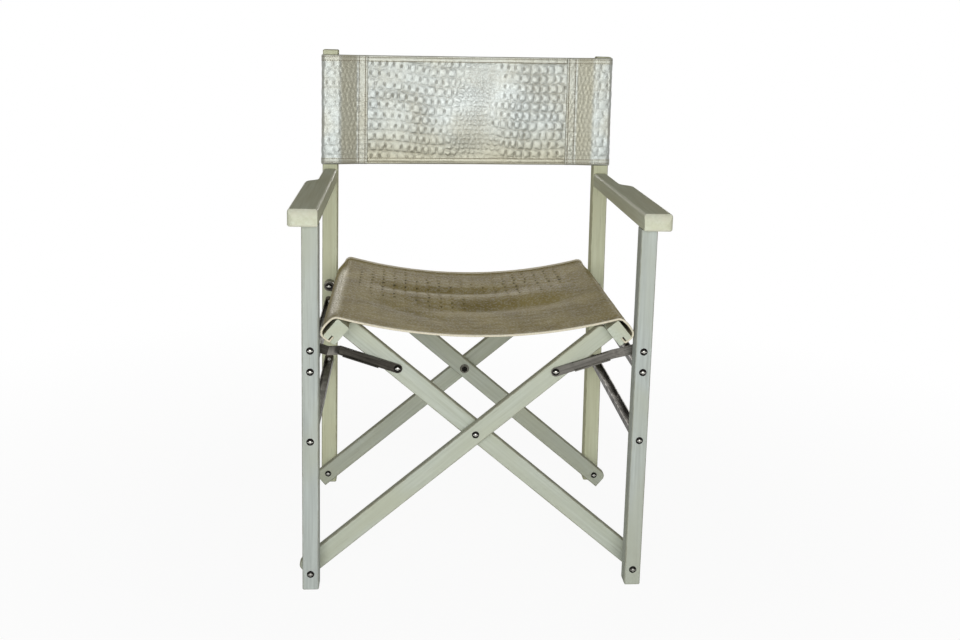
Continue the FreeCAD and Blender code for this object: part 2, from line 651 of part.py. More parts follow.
def front_leg(side, word):
    """A front leg with a round tenon on top and its bolt holes."""
    body = new_body(f"front_leg_{word}")
    section = new_sketch(body, "XY_Plane")
    rectangle(section, "-front_leg_half", "0", "front_leg_half", "front_leg_depth")
    pad(body, section, "leg_length")

    def rim(edge):
        return along(edge, UPWARD) or near(edge.CenterOfMass.z, "0")

    fillet(body, "wood_round", rim)
    tenon = new_sketch(body, "XY_Plane", "leg_length")
    circle(tenon, ("0", "front_leg_mid"), "tenon_diameter")
    pad(body, tenon, "tenon_length")
    holes = new_sketch(body, "XZ_Plane")
    for level in ("foot_pivot", "lower_stretcher", "upper_stretcher", "link_pivot"):
        circle(holes, ("0", f"{level}_height"), "bolt_hole")
    pocket(body, holes)
    place(body, signed(side, "leg_x"), "0", "0")
    node(body, body.Label)


def rear_post(side, word):
    """A leaning rear post; the nuts at its pivots sit on flat seats."""
    x = signed(side, "leg_x")
    body = new_body(f"post_blank_{word}")
    profile = new_sketch(body, "YZ_Plane")
    corners = [
        ("post_setback", "0"),
        ("post_rear_low", "0"),
        ("post_rear_top", "post_height"),
        ("post_front_top", "post_height"),
    ]
    outline(profile, corners)
    pad(body, profile, "post_width", middle=True)
    fillet(body, "wood_round", lambda e: True)
    place(body, x, "0", "0")
    tools = [rod(f"arm_bore_{word}", "tenon_hole", "arm_bore", x, "arm_tenon_start", "arm_mid")]
    for level, seat in (("foot_pivot_height", "foot_seat"), ("link_pivot_height", "link_seat")):
        tools.append(rod(f"{level}_bore_{word}", "bolt_hole", "post_bore", x, "post_setback", level))
        tools.append(rod(f"{level}_seat_{word}", "spotface_diameter", "post_depth", x, seat, level))
    for level in ("lower", "upper"):
        where = (x, f"{level}_bore_start", f"{level}_bore_height")
        tools.append(rod(f"{level}_bore_{word}", "bolt_hole", "post_bore", *where, "leaning_quarter"))
    node(cut(body, tools, f"rear_post_{word}"), f"rear_post_{word}")


def armrest(side, word):
    """An armrest with a wide front, a waved outer edge and a tenon into the post."""
    body = new_body(f"armrest_{word}")
    plan = new_sketch(body, "XY_Plane", "leg_length")
    corners = [
        ("-front_leg_half", "-arm_overhang"),
        ("arm_corner_outer", "-arm_overhang"),
        ("arm_outer", "arm_corner_front"),
        ("arm_outer", "arm_wide_end"),
        ("arm_curve_outer", "arm_curve_mid"),
        ("arm_narrow_outer", "arm_narrow_start"),
        ("arm_narrow_outer", "arm_rear_top"),
        ("-front_leg_half", "arm_rear_top"),
    ]
    arcs = {1: ("arm_corner", side), 3: ("arm_curve_radius", side), 4: ("arm_curve_radius", -side)}
    outline(plan, mirrored(side, corners), arcs)
    pad(body, plan, "arm_thickness")
    wedge = new_sketch(body, "YZ_Plane")
    corners = [
        ("arm_rear_low", "leg_length"),
        ("arm_rear_top", "arm_top"),
        ("arm_rear_top", "leg_length"),
    ]
    outline(wedge, corners)
    pocket(body, wedge, "arm_span", middle=True)
    rear = size_of("arm_rear_low") - 1

    def rim(edge, level):
        return near(edge.CenterOfMass.z, level) and edge.CenterOfMass.y < rear and edge.Length > 0.5

    fillet(body, "arm_top_round", lambda e: rim(e, "arm_top"))
    fillet(body, "arm_low_round", lambda e: rim(e, "leg_length"))
    nose = new_sketch(body, "YZ_Plane")
    corners = [
        ("-arm_overhang", "arm_nose_high"),
        ("arm_nose_back", "arm_top"),
        ("-arm_overhang", "arm_top"),
    ]
    outline(nose, corners, {0: ("arm_nose_round", -1)})
    corners = [
        ("arm_nose_tuck", "leg_length"),
        ("-arm_overhang", "arm_nose_low"),
        ("-arm_overhang", "leg_length"),
    ]
    outline(nose, corners, {0: ("arm_nose_under", -1)})
    pocket(body, nose, "arm_span", middle=True)
    tenon = new_sketch(body, "XZ_Plane", "arm_tenon_start")
    circle(tenon, ("0", "arm_mid"), "tenon_diameter")
    pad(body, tenon, "arm_tenon_reach")
    bore = new_sketch(body, "XY_Plane", "leg_length")
    circle(bore, ("0", "front_leg_mid"), "tenon_hole")
    pocket(body, bore, "tenon_hole_depth")
    place(body, signed(side, "leg_x"), "0", "0")
    node(body, body.Label)


def stretcher(side, word, level):
    """A folded channel between leg and post, with a bent tab at each end."""
    body = new_body(f"{level}_stretcher_{word}")
    strip = new_sketch(body, "YZ_Plane")
    corners = [
        ("front_leg_depth", "stretcher_tab_top"),
        ("front_leg_depth", "-stretcher_low"),
        (f"{level}_rear_low", "-stretcher_low"),
        (f"{level}_rear_high", "stretcher_tab_top"),
        (f"{level}_tab_high", "stretcher_tab_top"),
        (f"{level}_tab_low", "-stretcher_floor"),
        ("stretcher_front", "-stretcher_floor"),
        ("stretcher_front", "stretcher_tab_top"),
    ]
    outline(strip, corners)
    pad(body, strip, "stretcher_width", middle=True)
    flanges = new_sketch(body, "XZ_Plane", "front_leg_depth")
    rectangle(flanges, "-stretcher_half", "-stretcher_low", "-stretcher_inner", "stretcher_low")
    rectangle(flanges, "stretcher_inner", "-stretcher_low", "stretcher_half", "stretcher_low")
    pad(body, flanges, f"{level}_flange")

    def tab_corner(edge):
        middle = edge.CenterOfMass
        return near(middle.z, "stretcher_tab_top") and near(abs(middle.x), "stretcher_half")

    fillet(body, "stretcher_tab_round", tab_corner)
    holes = new_sketch(body, "XZ_Plane")
    circle(holes, ("0", "0"), "tab_hole")
    pocket(body, holes)
    place(body, signed(side, "leg_x"), "0", f"{level}_stretcher_height")
    node(body, body.Label)


def stretcher_bolts(side, word):
    """The bolts of both stretchers of one side, screwed into the tabs."""
    x = signed(side, "leg_x")
    pieces = []
    for level in ("lower", "upper"):
        height = f"{level}_stretcher_height"
        name = f"{level}_{word}"
        pieces.append(bolt(f"front_bolt_{name}", x, "0", height, "stretcher_bolt_length"))
        where = (x, f"{level}_head_y", f"{level}_head_height")
        pieces.append(bolt(f"rear_bolt_{name}", *where, "rear_stretcher_bolt_length", -1, "post_lean"))
    group(f"stretcher_bolts_{word}", pieces)


def foot_pivots(side, word, frame):
    """The bolts, nuts and spacer tubes on which one pair of bars turns."""
    x = signed(side, "leg_x")
    height = "foot_pivot_height"
    front = bolt(f"foot_bolt_front_{word}", x, "0", height, f"{frame}_front_bolt")
    where = (x, f"{frame}_rear_head", height)
    rear = bolt(f"foot_bolt_rear_{word}", *where, f"{frame}_rear_bolt")
    front_nut = nut(f"foot_nut_front_{word}", x, f"{frame}_front_nut", height)
    rear_nut = nut(f"foot_nut_rear_{word}", x, "foot_seat", height)
    group(f"foot_pivot_bolts_{word}", [front, front_nut, rear, rear_nut])
    size = ("spacer_diameter", f"{frame}_front_spacer")
    front_tube = tube(f"foot_tube_front_{word}", x, "front_spacer_start", height, *size)
    size = ("spacer_diameter", f"{frame}_rear_spacer")
    rear_tube = tube(f"foot_tube_rear_{word}", x, f"{frame}_rear_spacer_start", height, *size)
    group(f"foot_spacers_{word}", [front_tube, rear_tube])


def link_bolts(side, word):
    """The bolts and nuts of the links' pivots on one leg and post."""
    x = signed(side, "leg_x")
    height = "link_pivot_height"
    front = bolt(f"link_bolt_front_{word}", x, "0", height, "front_link_bolt")
    where = (x, f"rear_{word}_link_head", height)
    rear = bolt(f"link_bolt_rear_{word}", *where, f"rear_{word}_link_bolt")
    front_nut = nut(f"link_nut_front_{word}", x, "front_link_nut", height)
    rear_nut = nut(f"link_nut_rear_{word}", x, "link_seat", height)
    group(f"link_bolts_{word}", [front, front_nut, rear, rear_nut])


def tilt(thing, side, x, z):
    """Turn a piece of a crossed frame to the slope of its bars."""
    place(thing, x, "0", z, TOWARDS_FRONT, signed(side, "bar_angle"))


def crossed_bar(side, frame, end):
    """One crossed bar; side is where its head is."""
    label = f"{frame}_bar_{end}"
    start = f"{frame}_{end}_y"
    body = new_body(label)
    profile = new_sketch(body, "XZ_Plane", start)
    corners = [
        ("-bar_low_end", "-bar_half"),
        ("rail_start", "-bar_half"),
        ("rail_start", "bar_half"),
        ("-bar_low_end", "bar_half"),
    ]
    outline(profile, mirrored(side, corners))
    pad(body, profile, "bar_thickness")

    def corner(edge, name):
        middle = edge.CenterOfMass
        return along(edge, REARWARD) and near(middle.x * side, name) and near(middle.z, "bar_half")

    fillet(body, "bar_foot_round", lambda e: corner(e, "-bar_low_end"))
    fillet(body, "bar_head_round", lambda e: corner(e, "rail_start"))

    def long_edge(edge):
        middle = edge.CenterOfMass
        level = near(middle.y, start) or near(middle.y, f"{frame}_{end}_back")
        return level and not near(middle.x * side, "rail_start")

    fillet(body, "wood_round", long_edge)
    tenon = new_sketch(body, "XZ_Plane", f"{frame}_{end}_tenon")
    corners = [
        ("bar_tenon_root", "-bar_tenon_half"),
        ("bar_tenon_end", "-bar_tenon_half"),
        ("bar_tenon_end", "bar_tenon_half"),
        ("bar_tenon_root", "bar_tenon_half"),
    ]
    outline(tenon, mirrored(side, corners))
    pad(body, tenon, "bar_tenon_thickness")
    holes = new_sketch(body, "XZ_Plane")
    for point in ("-cross_reach", "0", "link_bar_point"):
        circle(holes, (signed(side, point), "0"), "bolt_hole")
    pocket(body, holes)
    tilt(body, side, "0", "cross_height")
    node(body, label)


def seat_rail(side, word, frame):
    """A seat rail with the groove for the leather and the mortises of its two bars."""
    body = new_body(f"seat_rail_{word}")
    profile = new_sketch(body, "XZ_Plane", "rail_front")
    corners = [
        ("rail_start", "-rail_below"),
        ("kerf_inner", "-rail_below"),
        ("kerf_inner", "-kerf_roof"),
        ("kerf_outer", "-kerf_roof"),
        ("kerf_outer", "-rail_below"),
        ("rail_end", "-rail_below"),
        ("rail_end", "rail_above"),
        ("rail_start", "rail_above"),
    ]
    outline(profile, mirrored(side, corners))
    pad(body, profile, "rail_length")

    def rim(edge):
        middle = edge.CenterOfMass
        face = near(middle.x * side, "rail_start") or near(middle.x * side, "rail_end")
        return along(edge, REARWARD) and face

    fillet(body, "rail_round", rim)
    for end in ("front", "rear"):
        mortise = new_sketch(body, "XZ_Plane", f"{frame}_{end}_mortise")
        corners = [
            ("bar_tenon_root", "-mortise_half"),
            ("mortise_end", "-mortise_half"),
            ("mortise_end", "mortise_half"),
            ("bar_tenon_root", "mortise_half"),
        ]
        outline(mortise, mirrored(side, corners))
        pocket(body, mortise, "mortise_thickness")
    tilt(body, side, "0", "cross_height")
    node(body, body.Label)


def seat_wrap(side, word):
    """The edge of the seat: held in the groove and laid round the outside of the rail."""
    body = new_body(f"seat_wrap_{word}")
    profile = new_sketch(body, "XZ_Plane", "seat_front")
    corners = [
        ("tongue_outer", "-tongue_roof"),
        ("tongue_outer", "-wrap_under"),
        ("wrap_corner", "-wrap_under"),
        ("wrap_side", "-wrap_low"),
        ("wrap_side", "wrap_top"),
        ("wrap_tip_in", "wrap_tip_in_top"),
        ("wrap_tip_out", "wrap_tip_out_top"),
        ("wrap_side_out", "wrap_top"),
        ("wrap_side_out", "-wrap_low"),
        ("wrap_corner", "-wrap_under_out"),
        ("tongue_inner", "-wrap_under_out"),
        ("tongue_inner", "-tongue_roof"),
    ]
    arcs = {
        2: ("wrap_low_bend", side),
        4: ("leather_bend", side),
        6: ("wrap_bend_out", -side),
        8: ("wrap_low_bend_out", -side),
    }
    outline(profile, mirrored(side, corners), arcs)
    pad(body, profile, "seat_depth")
    tilt(body, side, "0", "cross_height")
    node(body, body.Label)


def seat_panel():
    """The seat between the rails, hanging in an arc."""
    body = new_body("seat_panel")
    profile = new_sketch(body, "XZ_Plane", "seat_front")
    corners = [
        ("-seat_top_x", "seat_top_z"),
        ("seat_top_x", "seat_top_z"),
        ("seat_low_x", "seat_low_z"),
        ("-seat_low_x", "seat_low_z"),
    ]
    outline(profile, corners, {0: ("seat_radius", 1), 2: ("seat_low_radius", -1)})
    pad(body, profile, "seat_depth")
    place(body, "0", "0", "0")
    node(body, "seat_panel")


def link(side, word, end):
    """A pressed link: flat ends, a jog, and a channel open on the side away from the bar."""
    name = f"{end}_{word}"
    body = new_body(f"link_{name}")
    strip = new_sketch(body, "XY_Plane")
    corners = [
        ("link_half", f"{name}_leg"),
        ("-link_flat", f"{name}_leg"),
        ("-link_jog_end", f"{name}_web"),
        ("-link_far_end", f"{name}_web"),
        ("-link_far_end", f"{name}_web_back"),
        (f"-{name}_jog_end", f"{name}_web_back"),
        (f"-{name}_jog", f"{name}_leg_back"),
        ("link_half", f"{name}_leg_back"),
    ]
    outline(strip, mirrored(side, corners))
    pad(body, strip, "link_width", middle=True)
    inner, face = ("web_back", "web") if end == "front" else ("web", "web_back")
    for level, width, change in ((inner, "link_width", pad), (face, "link_channel_width", pocket)):
        channel = new_sketch(body, "XY_Plane")
        corners = [
            ("-link_channel_start", f"{name}_{level}"),
            ("-link_channel_end", f"{name}_{level}"),
            ("-link_channel_end", f"{name}_flange"),
            ("-link_channel_start", f"{name}_flange"),
        ]
        outline(channel, mirrored(side, corners))
        change(body, channel, width, middle=True)

    def tip(edge):
        reach = abs(edge.CenterOfMass.x)
        at_end = near(reach, "link_half") or near(reach, "link_far_end")
        return along(edge, REARWARD) and at_end

    fillet(body, "link_end_round", tip)
    holes = new_sketch(body, "XZ_Plane")
    circle(holes, ("0", "0"), "bolt_hole")
    circle(holes, (signed(side, "-link_length"), "0"), "bolt_hole")
    pocket(body, holes)
    angle = "link_angle" if side == LEFT else "-link_angle"
    place(body, signed(side, "leg_x"), "0", "link_pivot_height", TOWARDS_FRONT, angle)
    node(body, body.Label)


def back_sleeve(side, word):
    """A sleeve of the back: round the post, drawn in to the seam beside it."""
    body = new_body(f"back_sleeve_{word}")
    plan = new_sketch(body, "XY_Plane", "sling_low")
    corners = [
        ("sleeve_side", "-sleeve_depth"),
        ("sleeve_side", "sleeve_depth"),
        ("-sleeve_hollow", "sleeve_depth"),
        ("-sleeve_reach", "leather"),
        ("-sleeve_end_in", "leather"),
        ("-sleeve_end_in", "-leather"),
        ("-sleeve_reach", "-leather"),
        ("-sleeve_hollow", "-sleeve_depth"),
    ]
    outline(plan, mirrored(side, corners))
    corners = [
        ("sleeve_hollow", "-sleeve_hollow_depth"),
        ("sleeve_hollow", "sleeve_hollow_depth"),
        ("-sleeve_hollow", "sleeve_hollow_depth"),
        ("-sleeve_tip", "0"),
        ("-sleeve_hollow", "-sleeve_hollow_depth"),
    ]
    outline(plan, mirrored(side, corners))
    pad(body, plan, "sling_length")

    def outer(edge):
        middle = edge.CenterOfMass
        return along(edge, UPWARD) and near(abs(middle.y), "sleeve_depth")

    fillet(body, "sleeve_round", outer)
    place(body, signed(side, "leg_x"), "post_mid", "0", ACROSS, "-post_lean")
    node(body, body.Label)


def back_panel():
    """The back between the two sleeves, bowed a little to the rear."""
    body = new_body("back_panel")
    plan = new_sketch(body, "XY_Plane", "sling_low")
    corners = [
        ("-panel_half", "-panel_face"),
        ("panel_half", "-panel_face"),
        ("panel_half", "panel_face"),
        ("-panel_half", "panel_face"),
    ]
    outline(plan, corners, {0: ("panel_radius", -1), 2: ("panel_radius", 1)})
    pad(body, plan, "sling_length")
    place(body, "0", "post_mid", "0", ACROSS, "-post_lean")
    node(body, "back_panel")


for side, word in SIDES:
    front_leg(side, word)
    rear_post(side, word)
    armrest(side, word)
    stretcher(side, word, "upper")
    stretcher(side, word, "lower")
    stretcher_bolts(side, word)
    foot_pivots(side, word, "outer" if side == LEFT else "inner")
    link_bolts(side, word)
    back_sleeve(side, word)
    seat_rail(side, word, "inner" if side == LEFT else "outer")
    seat_wrap(side, word)
for end in ("front", "rear"):
    crossed_bar(RIGHT, "outer", end)
    crossed_bar(LEFT, "inner", end)

front_bolt = bolt("cross_bolt_front", "0", "outer_front_y", "cross_height", "cross_front_bolt")
front_nut = nut("cross_nut_front", "0", "inner_front_nut", "cross_height")
rear_bolt = bolt("cross_bolt_rear", "0", "outer_rear_back", "cross_height", "cross_rear_bolt", -1)
rear_nut = nut("cross_nut_rear", "0", "cross_rear_nut", "cross_height")
group("crossing_bolts", [front_bolt, front_nut, rear_bolt, rear_nut])
washer = ("washer_diameter", "washer_thickness")
front_washer = tube("cross_washer_front", "0", "front_washer", "cross_height", *washer)
rear_washer = tube("cross_washer_rear", "0", "rear_washer", "cross_height", *washer)
nut_washer = tube("cross_washer_nut", "0", "nut_washer", "cross_height", *washer)
group("crossing_washers", [front_washer, rear_washer, nut_washer])
where = ("-leg_x", "link_spacer_start", "link_pivot_height")
spacer = tube("link_spacer_left", *where, "link_spacer_diameter", "link_spacer_length")
node(spacer, "link_spacer_left")
for side, word in SIDES:
    link(side, word, "front")
    link(side, word, "rear")
    x = signed(side, "bar_point_x")
    where = (x, f"front_{word}_web", "bar_point_height", "link_plate")
    node(bolt(f"link_rivet_front_{word}", *where), f"link_rivet_front_{word}")
    where = (x, f"rear_{word}_web_back", "bar_point_height", "link_plate", -1)
    node(bolt(f"link_rivet_rear_{word}", *where), f"link_rivet_rear_{word}")
seat_panel()
back_panel()
doc.recompute()

for thing in doc.Objects:
    if "Invalid" in thing.State or "Error" in thing.State:
        raise RuntimeError(f"{thing.Label} did not build")
os.makedirs("parts", exist_ok=True)
for thing in nodes:
    if thing.Shape.isNull() or not thing.Shape.isValid() or not thing.Shape.Solids:
        raise RuntimeError(f"{thing.Label} has no sound solid")
    thing.Shape.exportStep(f"parts/{thing.Label}.step")
print(len(nodes), "pieces written")
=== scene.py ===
"""Looks of a folding camp chair: painted wood, dark steel and scale-embossed leather.

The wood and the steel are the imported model's own nodes with procedural finishes. The leather
seat and back are modelled here, in metres, over the plain leather solids of the model.
"""

import json
import logging
import math
import random
from dataclasses import dataclass, field
from enum import Enum
from typing import Callable, Iterable, Optional, Sequence, Union

import bmesh
import bpy
from mathutils import Matrix, Vector, noise
from mathutils.kdtree import KDTree

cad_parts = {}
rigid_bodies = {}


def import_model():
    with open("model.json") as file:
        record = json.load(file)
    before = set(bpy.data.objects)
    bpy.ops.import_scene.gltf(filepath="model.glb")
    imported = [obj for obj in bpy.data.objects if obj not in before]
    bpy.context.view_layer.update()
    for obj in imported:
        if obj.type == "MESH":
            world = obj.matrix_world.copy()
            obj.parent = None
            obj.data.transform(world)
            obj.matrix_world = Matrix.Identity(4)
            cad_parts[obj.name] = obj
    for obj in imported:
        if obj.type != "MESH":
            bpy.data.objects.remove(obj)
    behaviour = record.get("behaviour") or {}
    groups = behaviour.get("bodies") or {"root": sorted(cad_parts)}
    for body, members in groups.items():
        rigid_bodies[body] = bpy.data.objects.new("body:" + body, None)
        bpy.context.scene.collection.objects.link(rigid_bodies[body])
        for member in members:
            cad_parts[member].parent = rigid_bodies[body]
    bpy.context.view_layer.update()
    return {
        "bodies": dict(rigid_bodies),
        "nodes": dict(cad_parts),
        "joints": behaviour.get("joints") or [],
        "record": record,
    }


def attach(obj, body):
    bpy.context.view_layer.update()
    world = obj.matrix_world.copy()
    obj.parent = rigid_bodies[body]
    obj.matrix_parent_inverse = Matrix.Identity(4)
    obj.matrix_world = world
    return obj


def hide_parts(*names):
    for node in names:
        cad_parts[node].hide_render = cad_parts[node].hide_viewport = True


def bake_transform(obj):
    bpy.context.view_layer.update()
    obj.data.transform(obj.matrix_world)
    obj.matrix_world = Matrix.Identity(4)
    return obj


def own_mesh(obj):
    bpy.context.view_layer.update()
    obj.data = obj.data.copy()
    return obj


log = logging.getLogger("camp_chair")

Triple = tuple[float, float, float]
Colour = Triple
Pair = tuple[float, float]
PlaceAndNormal = tuple[Vector, Vector]
Material = bpy.types.Material
Piece = bpy.types.Object
Socket = bpy.types.NodeSocket
Value = Union[float, Socket]
Inputs = dict[Union[int, str], object]

SIDES = (("left", -1.0), ("right", 1.0))

# Slopes of the open chair's bars, rear posts and links, and the height where the bars cross.
BAR_SLOPE = math.radians(40.0)
POST_LEAN = math.radians(3.0)
LINK_SLOPE = math.radians(18.25)
CROSSING = 0.246844
BAR_SIN, BAR_COS = math.sin(BAR_SLOPE), math.cos(BAR_SLOPE)
POST_SIN, POST_COS = math.sin(POST_LEAN), math.cos(POST_LEAN)


def smooth(low: float, high: float, value: float) -> float:
    """Smooth step of a value, from 0 at low to 1 at high."""
    t = min(1.0, max(0.0, (value - low) / (high - low)))
    return t * t * (3.0 - 2.0 * t)


def blot(u: float, v: float, middle: Pair, spread: Pair) -> float:
    """A soft patch: 1 in its middle, fading with its spread across and along."""
    return math.exp(-(((u - middle[0]) / spread[0]) ** 2) - ((v - middle[1]) / spread[1]) ** 2)


def srgb(red: int, green: int, blue: int) -> Colour:
    """Linear colour for an 8-bit display colour."""
    parts = [c / 255.0 for c in (red, green, blue)]
    return tuple(c / 12.92 if c < 0.04045 else ((c + 0.055) / 1.055) ** 2.4 for c in parts)


def both_sides(*kinds: str) -> list[str]:
    """Names of the left and right piece of each kind."""
    return [f"{kind}_{word}" for kind in kinds for word, _ in SIDES]


class Grain(Enum):
    """Which way a stick runs, as the turn that stands it upright."""

    UPRIGHT = (0.0, 0.0, 0.0)
    LEANING = (POST_LEAN, 0.0, 0.0)
    DEPTH = (math.pi / 2, 0.0, 0.0)
    RISING = (0.0, BAR_SLOPE - math.pi / 2, 0.0)
    FALLING = (0.0, math.pi / 2 - BAR_SLOPE, 0.0)
    LINK_LEFT = (0.0, math.pi / 2 - LINK_SLOPE, 0.0)
    LINK_RIGHT = (0.0, math.pi / 2 + LINK_SLOPE, 0.0)


class NodeGraph:
    """The nodes of a material or a world, put together step by step."""

    def __init__(self, owner: Union[Material, bpy.types.World]) -> None:
        """Start with an empty tree.

        Args:
            owner: The material or world.
        """
        owner.use_nodes = True
        self.tree = owner.node_tree
        self.tree.nodes.clear()

    def feed(self, target: Socket, value: object) -> None:
        """Link a socket to an input, or set a plain value on it.

        Args:
            target: The input.
            value: An output socket, a number or a colour.
        """
        if isinstance(value, Socket):
            self.tree.links.new(value, target)
        elif isinstance(value, tuple) and target.type == "RGBA":
            target.default_value = (*value, 1.0)
        else:
            target.default_value = value

    def node(self, kind: str, inputs: Inputs, **settings: object) -> bpy.types.Node:
        """Add a node.

        Args:
            kind: The node's type, without the ShaderNode in front.
            inputs: What is fed to its inputs, by their names or numbers.
            **settings: Properties of the node.

        Returns:
            The new node.
        """
        made = self.tree.nodes.new("ShaderNode" + kind)
        for key, value in settings.items():
            setattr(made, key, value)
        for key, value in inputs.items():
            self.feed(made.inputs[key], value)
        return made

    def coordinates(self, kind: str) -> Socket:
        """Texture coordinates of the piece, such as Object, Normal or UV."""
        return self.node("TexCoord", {}).outputs[kind]

    def parts(self, vector: Socket) -> Sequence[Socket]:
        """The three numbers of a vector."""
        return self.node("SeparateXYZ", {0: vector}).outputs

    def stretch(self, vector: Socket, scale: Sequence[float]) -> Socket:
        """Coordinates stretched along each axis."""
        return self.node("Mapping", {"Vector": vector, "Scale": scale}).outputs[0]

    def turned(self, vector: Socket, grain: Grain, kind: str = "POINT") -> Socket:
        """Places (POINT) or normals (VECTOR) of a stick that is stood upright."""
        inputs = {"Vector": vector, "Rotation": grain.value}
        return self.node("Mapping", inputs, vector_type=kind).outputs[0]

    def noise(self, vector: Socket, scale: float, detail: float = 3.0, warp: float = 0.0) -> Socket:
        """A noise field with its fineness, octaves and distortion."""
        inputs = {"Vector": vector, "Scale": scale, "Detail": detail, "Distortion": warp}
        return self.node("TexNoise", inputs).outputs[0]

    def cells(self, vector: Socket, scale: float) -> Socket:
        """The distance from the nearest middle of a pattern with so many cells a metre."""
        return self.node("TexVoronoi", {"Vector": vector, "Scale": scale}).outputs["Distance"]

    def sum(self, operation: str, first: Value, second: Value = 0.0) -> Socket:
        """One step of arithmetic, by the name of the Math node's operation."""
        return self.node("Math", {0: first, 1: second}, operation=operation).outputs[0]

    def between(self, value: Socket, low: float, high: float, start: float, end: float) -> Socket:
        """A number mapped from the range low to high to the range start to end, kept inside it."""
        inputs = {0: value, 1: low, 2: high, 3: start, 4: end}
        return self.node("MapRange", inputs, clamp=True).outputs[0]

    def blend(self, factor: Value, first: object, second: object) -> Socket:
        """A mix of two colours, with factor as the share of the second one."""
        return self.node("Mix", {0: factor, 6: first, 7: second}, data_type="RGBA").outputs[2]

    def mix(self, factor: Value, first: bpy.types.Node, second: bpy.types.Node) -> Socket:
        """A mix of two shaders, with factor as the share of the second one."""
        inputs = {0: factor, 1: first.outputs[0], 2: second.outputs[0]}
        return self.node("MixShader", inputs).outputs[0]

    def seen(self) -> Socket:
        """Whether a ray shows the background: seen, mirrored or through glass.

        Returns:
            1 for such rays, else 0.
        """
        rays = self.node("LightPath", {}).outputs
        direct = self.sum("MAXIMUM", rays["Is Camera Ray"], rays["Is Glossy Ray"])
        return self.sum("MAXIMUM", direct, rays["Is Transmission Ray"])


class Shader(NodeGraph):
    """A material with a Principled surface."""

    def __init__(self, name: str) -> None:
        """Start the material.

        Args:
            name: The material's name.
        """
        self.material = bpy.data.materials.new(name)
        super().__init__(self.material)
        self.surface = self.node("BsdfPrincipled", {})
        self.node("OutputMaterial", {"Surface": self.surface.outputs[0]})

    def set(self, name: str, value: object) -> None:
        """Feed one of the surface's inputs by its name."""
        self.feed(self.surface.inputs[name], value)

    def attribute(self, name: str) -> Socket:
        """A number stored on the mesh's points."""
        return self.node("Attribute", {}, attribute_name=name).outputs["Fac"]

    def bump(self, height: Socket, share: float, depth: float, **over: Socket) -> Socket:
        """A share of a height field, deep in metres at 1, laid over another bump's Normal."""
        inputs = {"Height": height, "Strength": share, "Distance": depth, **over}
        return self.node("Bump", inputs).outputs[0]

    def edge(self, grain: Grain, wavy: bool = False) -> Socket:
        """How much a place lies on a rounded edge of a stick.

        Args:
            grain: The way that the stick runs.
            wavy: Whether only its ends' rims count, as on a plank with a waved side.

        Returns:
            0 on flat faces to 1 in the middle of a rounded edge.
        """
        normal = self.parts(self.turned(self.coordinates("Normal"), grain, "VECTOR"))
        sizes = [self.sum("ABSOLUTE", part) for part in normal]
        if wavy:
            upright = self.sum("SUBTRACT", 1.0, self.sum("MULTIPLY", normal[1], normal[1]))
            flattest = self.sum("MAXIMUM", sizes[1], self.sum("SQRT", upright))
        else:
            flattest = self.sum("MAXIMUM", self.sum("MAXIMUM", sizes[0], sizes[1]), sizes[2])
        return self.between(flattest, 0.86, 0.985, 1.0, 0.0)


@dataclass(frozen=True)
class PaintFinish:
    """Pale paint on wood, with brush streaks, uneven tone, rubbed edges and, where asked, painted
    light.
    """

    name: str
    light: Colour
    dark: Colour
    warm: Colour
    wear_and_light: Colour
    grain: Grain
    wavy: bool = False
    shaded_and_soiled: float = 0.0
    polish: float = 0.0
    roughness: float = 0.52

    def material(self) -> Material:
        """Make the node material.

        Returns:
            The material.
        """
        made = Shader(self.name)
        place = made.turned(made.coordinates("Object"), self.grain)
        lengthwise = made.stretch(place, (1.0, 1.0, 0.035))
        streaks = made.noise(lengthwise, 260.0, 4.0)
        hairs = made.noise(lengthwise, 620.0, 2.0)
        broad = made.noise(made.stretch(place, (1.0, 1.0, 0.3)), 15.0, 2.0, 0.6)
        rubbed_and_lit = made.noise(place, 70.0, 4.0)
        fine = made.noise(place, 1400.0, 2.0)
        tone = made.blend(made.between(streaks, 0.34, 0.72, 0.0, 0.85), self.light, self.dark)
        tone = made.blend(made.between(broad, 0.4, 0.68, 0.0, 0.75), tone, self.warm)
        tone = made.blend(made.between(hairs, 0.66, 0.72, 0.0, 0.22), tone, self.wear_and_light)
        edge = made.edge(self.grain, self.wavy)
        edge_share = made.sum("MULTIPLY", edge, made.between(rubbed_and_lit, 0.35, 0.65, 0.15, 0.6))
        # Rubbed edges; on the arms the edge colour is pale, a painted highlight along their rounded
        # edges.
        tone = made.blend(edge_share, tone, self.wear_and_light)
        # Painted shade mixed with grime: faces that look up are darkened towards the edge colour,
        # in noisy patches.
        if self.shaded_and_soiled:
            up = made.parts(made.coordinates("Normal"))[2]
            handling_and_light = made.between(made.noise(place, 38.0, 4.0, 0.4), 0.3, 0.7, 0.7, 1.0)
            shade_and_soil = made.sum("MULTIPLY", made.between(up, 0.35, 0.72, 0.0, self.shaded_and_soiled), handling_and_light)
            tone = made.blend(shade_and_soil, tone, self.wear_and_light)
        made.set("Base Color", tone)
        low, high = self.roughness - 0.06, self.roughness + 0.09
        made.set("Roughness", made.between(streaks, 0.3, 0.7, low, high))
        made.set("Specular IOR Level", 0.0)
        if self.polish:
            made.set("Coat Weight", made.sum("MULTIPLY", edge, self.polish))
            made.set("Coat Roughness", 0.4)
        brushed = made.bump(streaks, 0.16, 0.0005)
        made.set("Normal", made.bump(fine, 0.08, 0.0003, Normal=brushed))
        return made.material


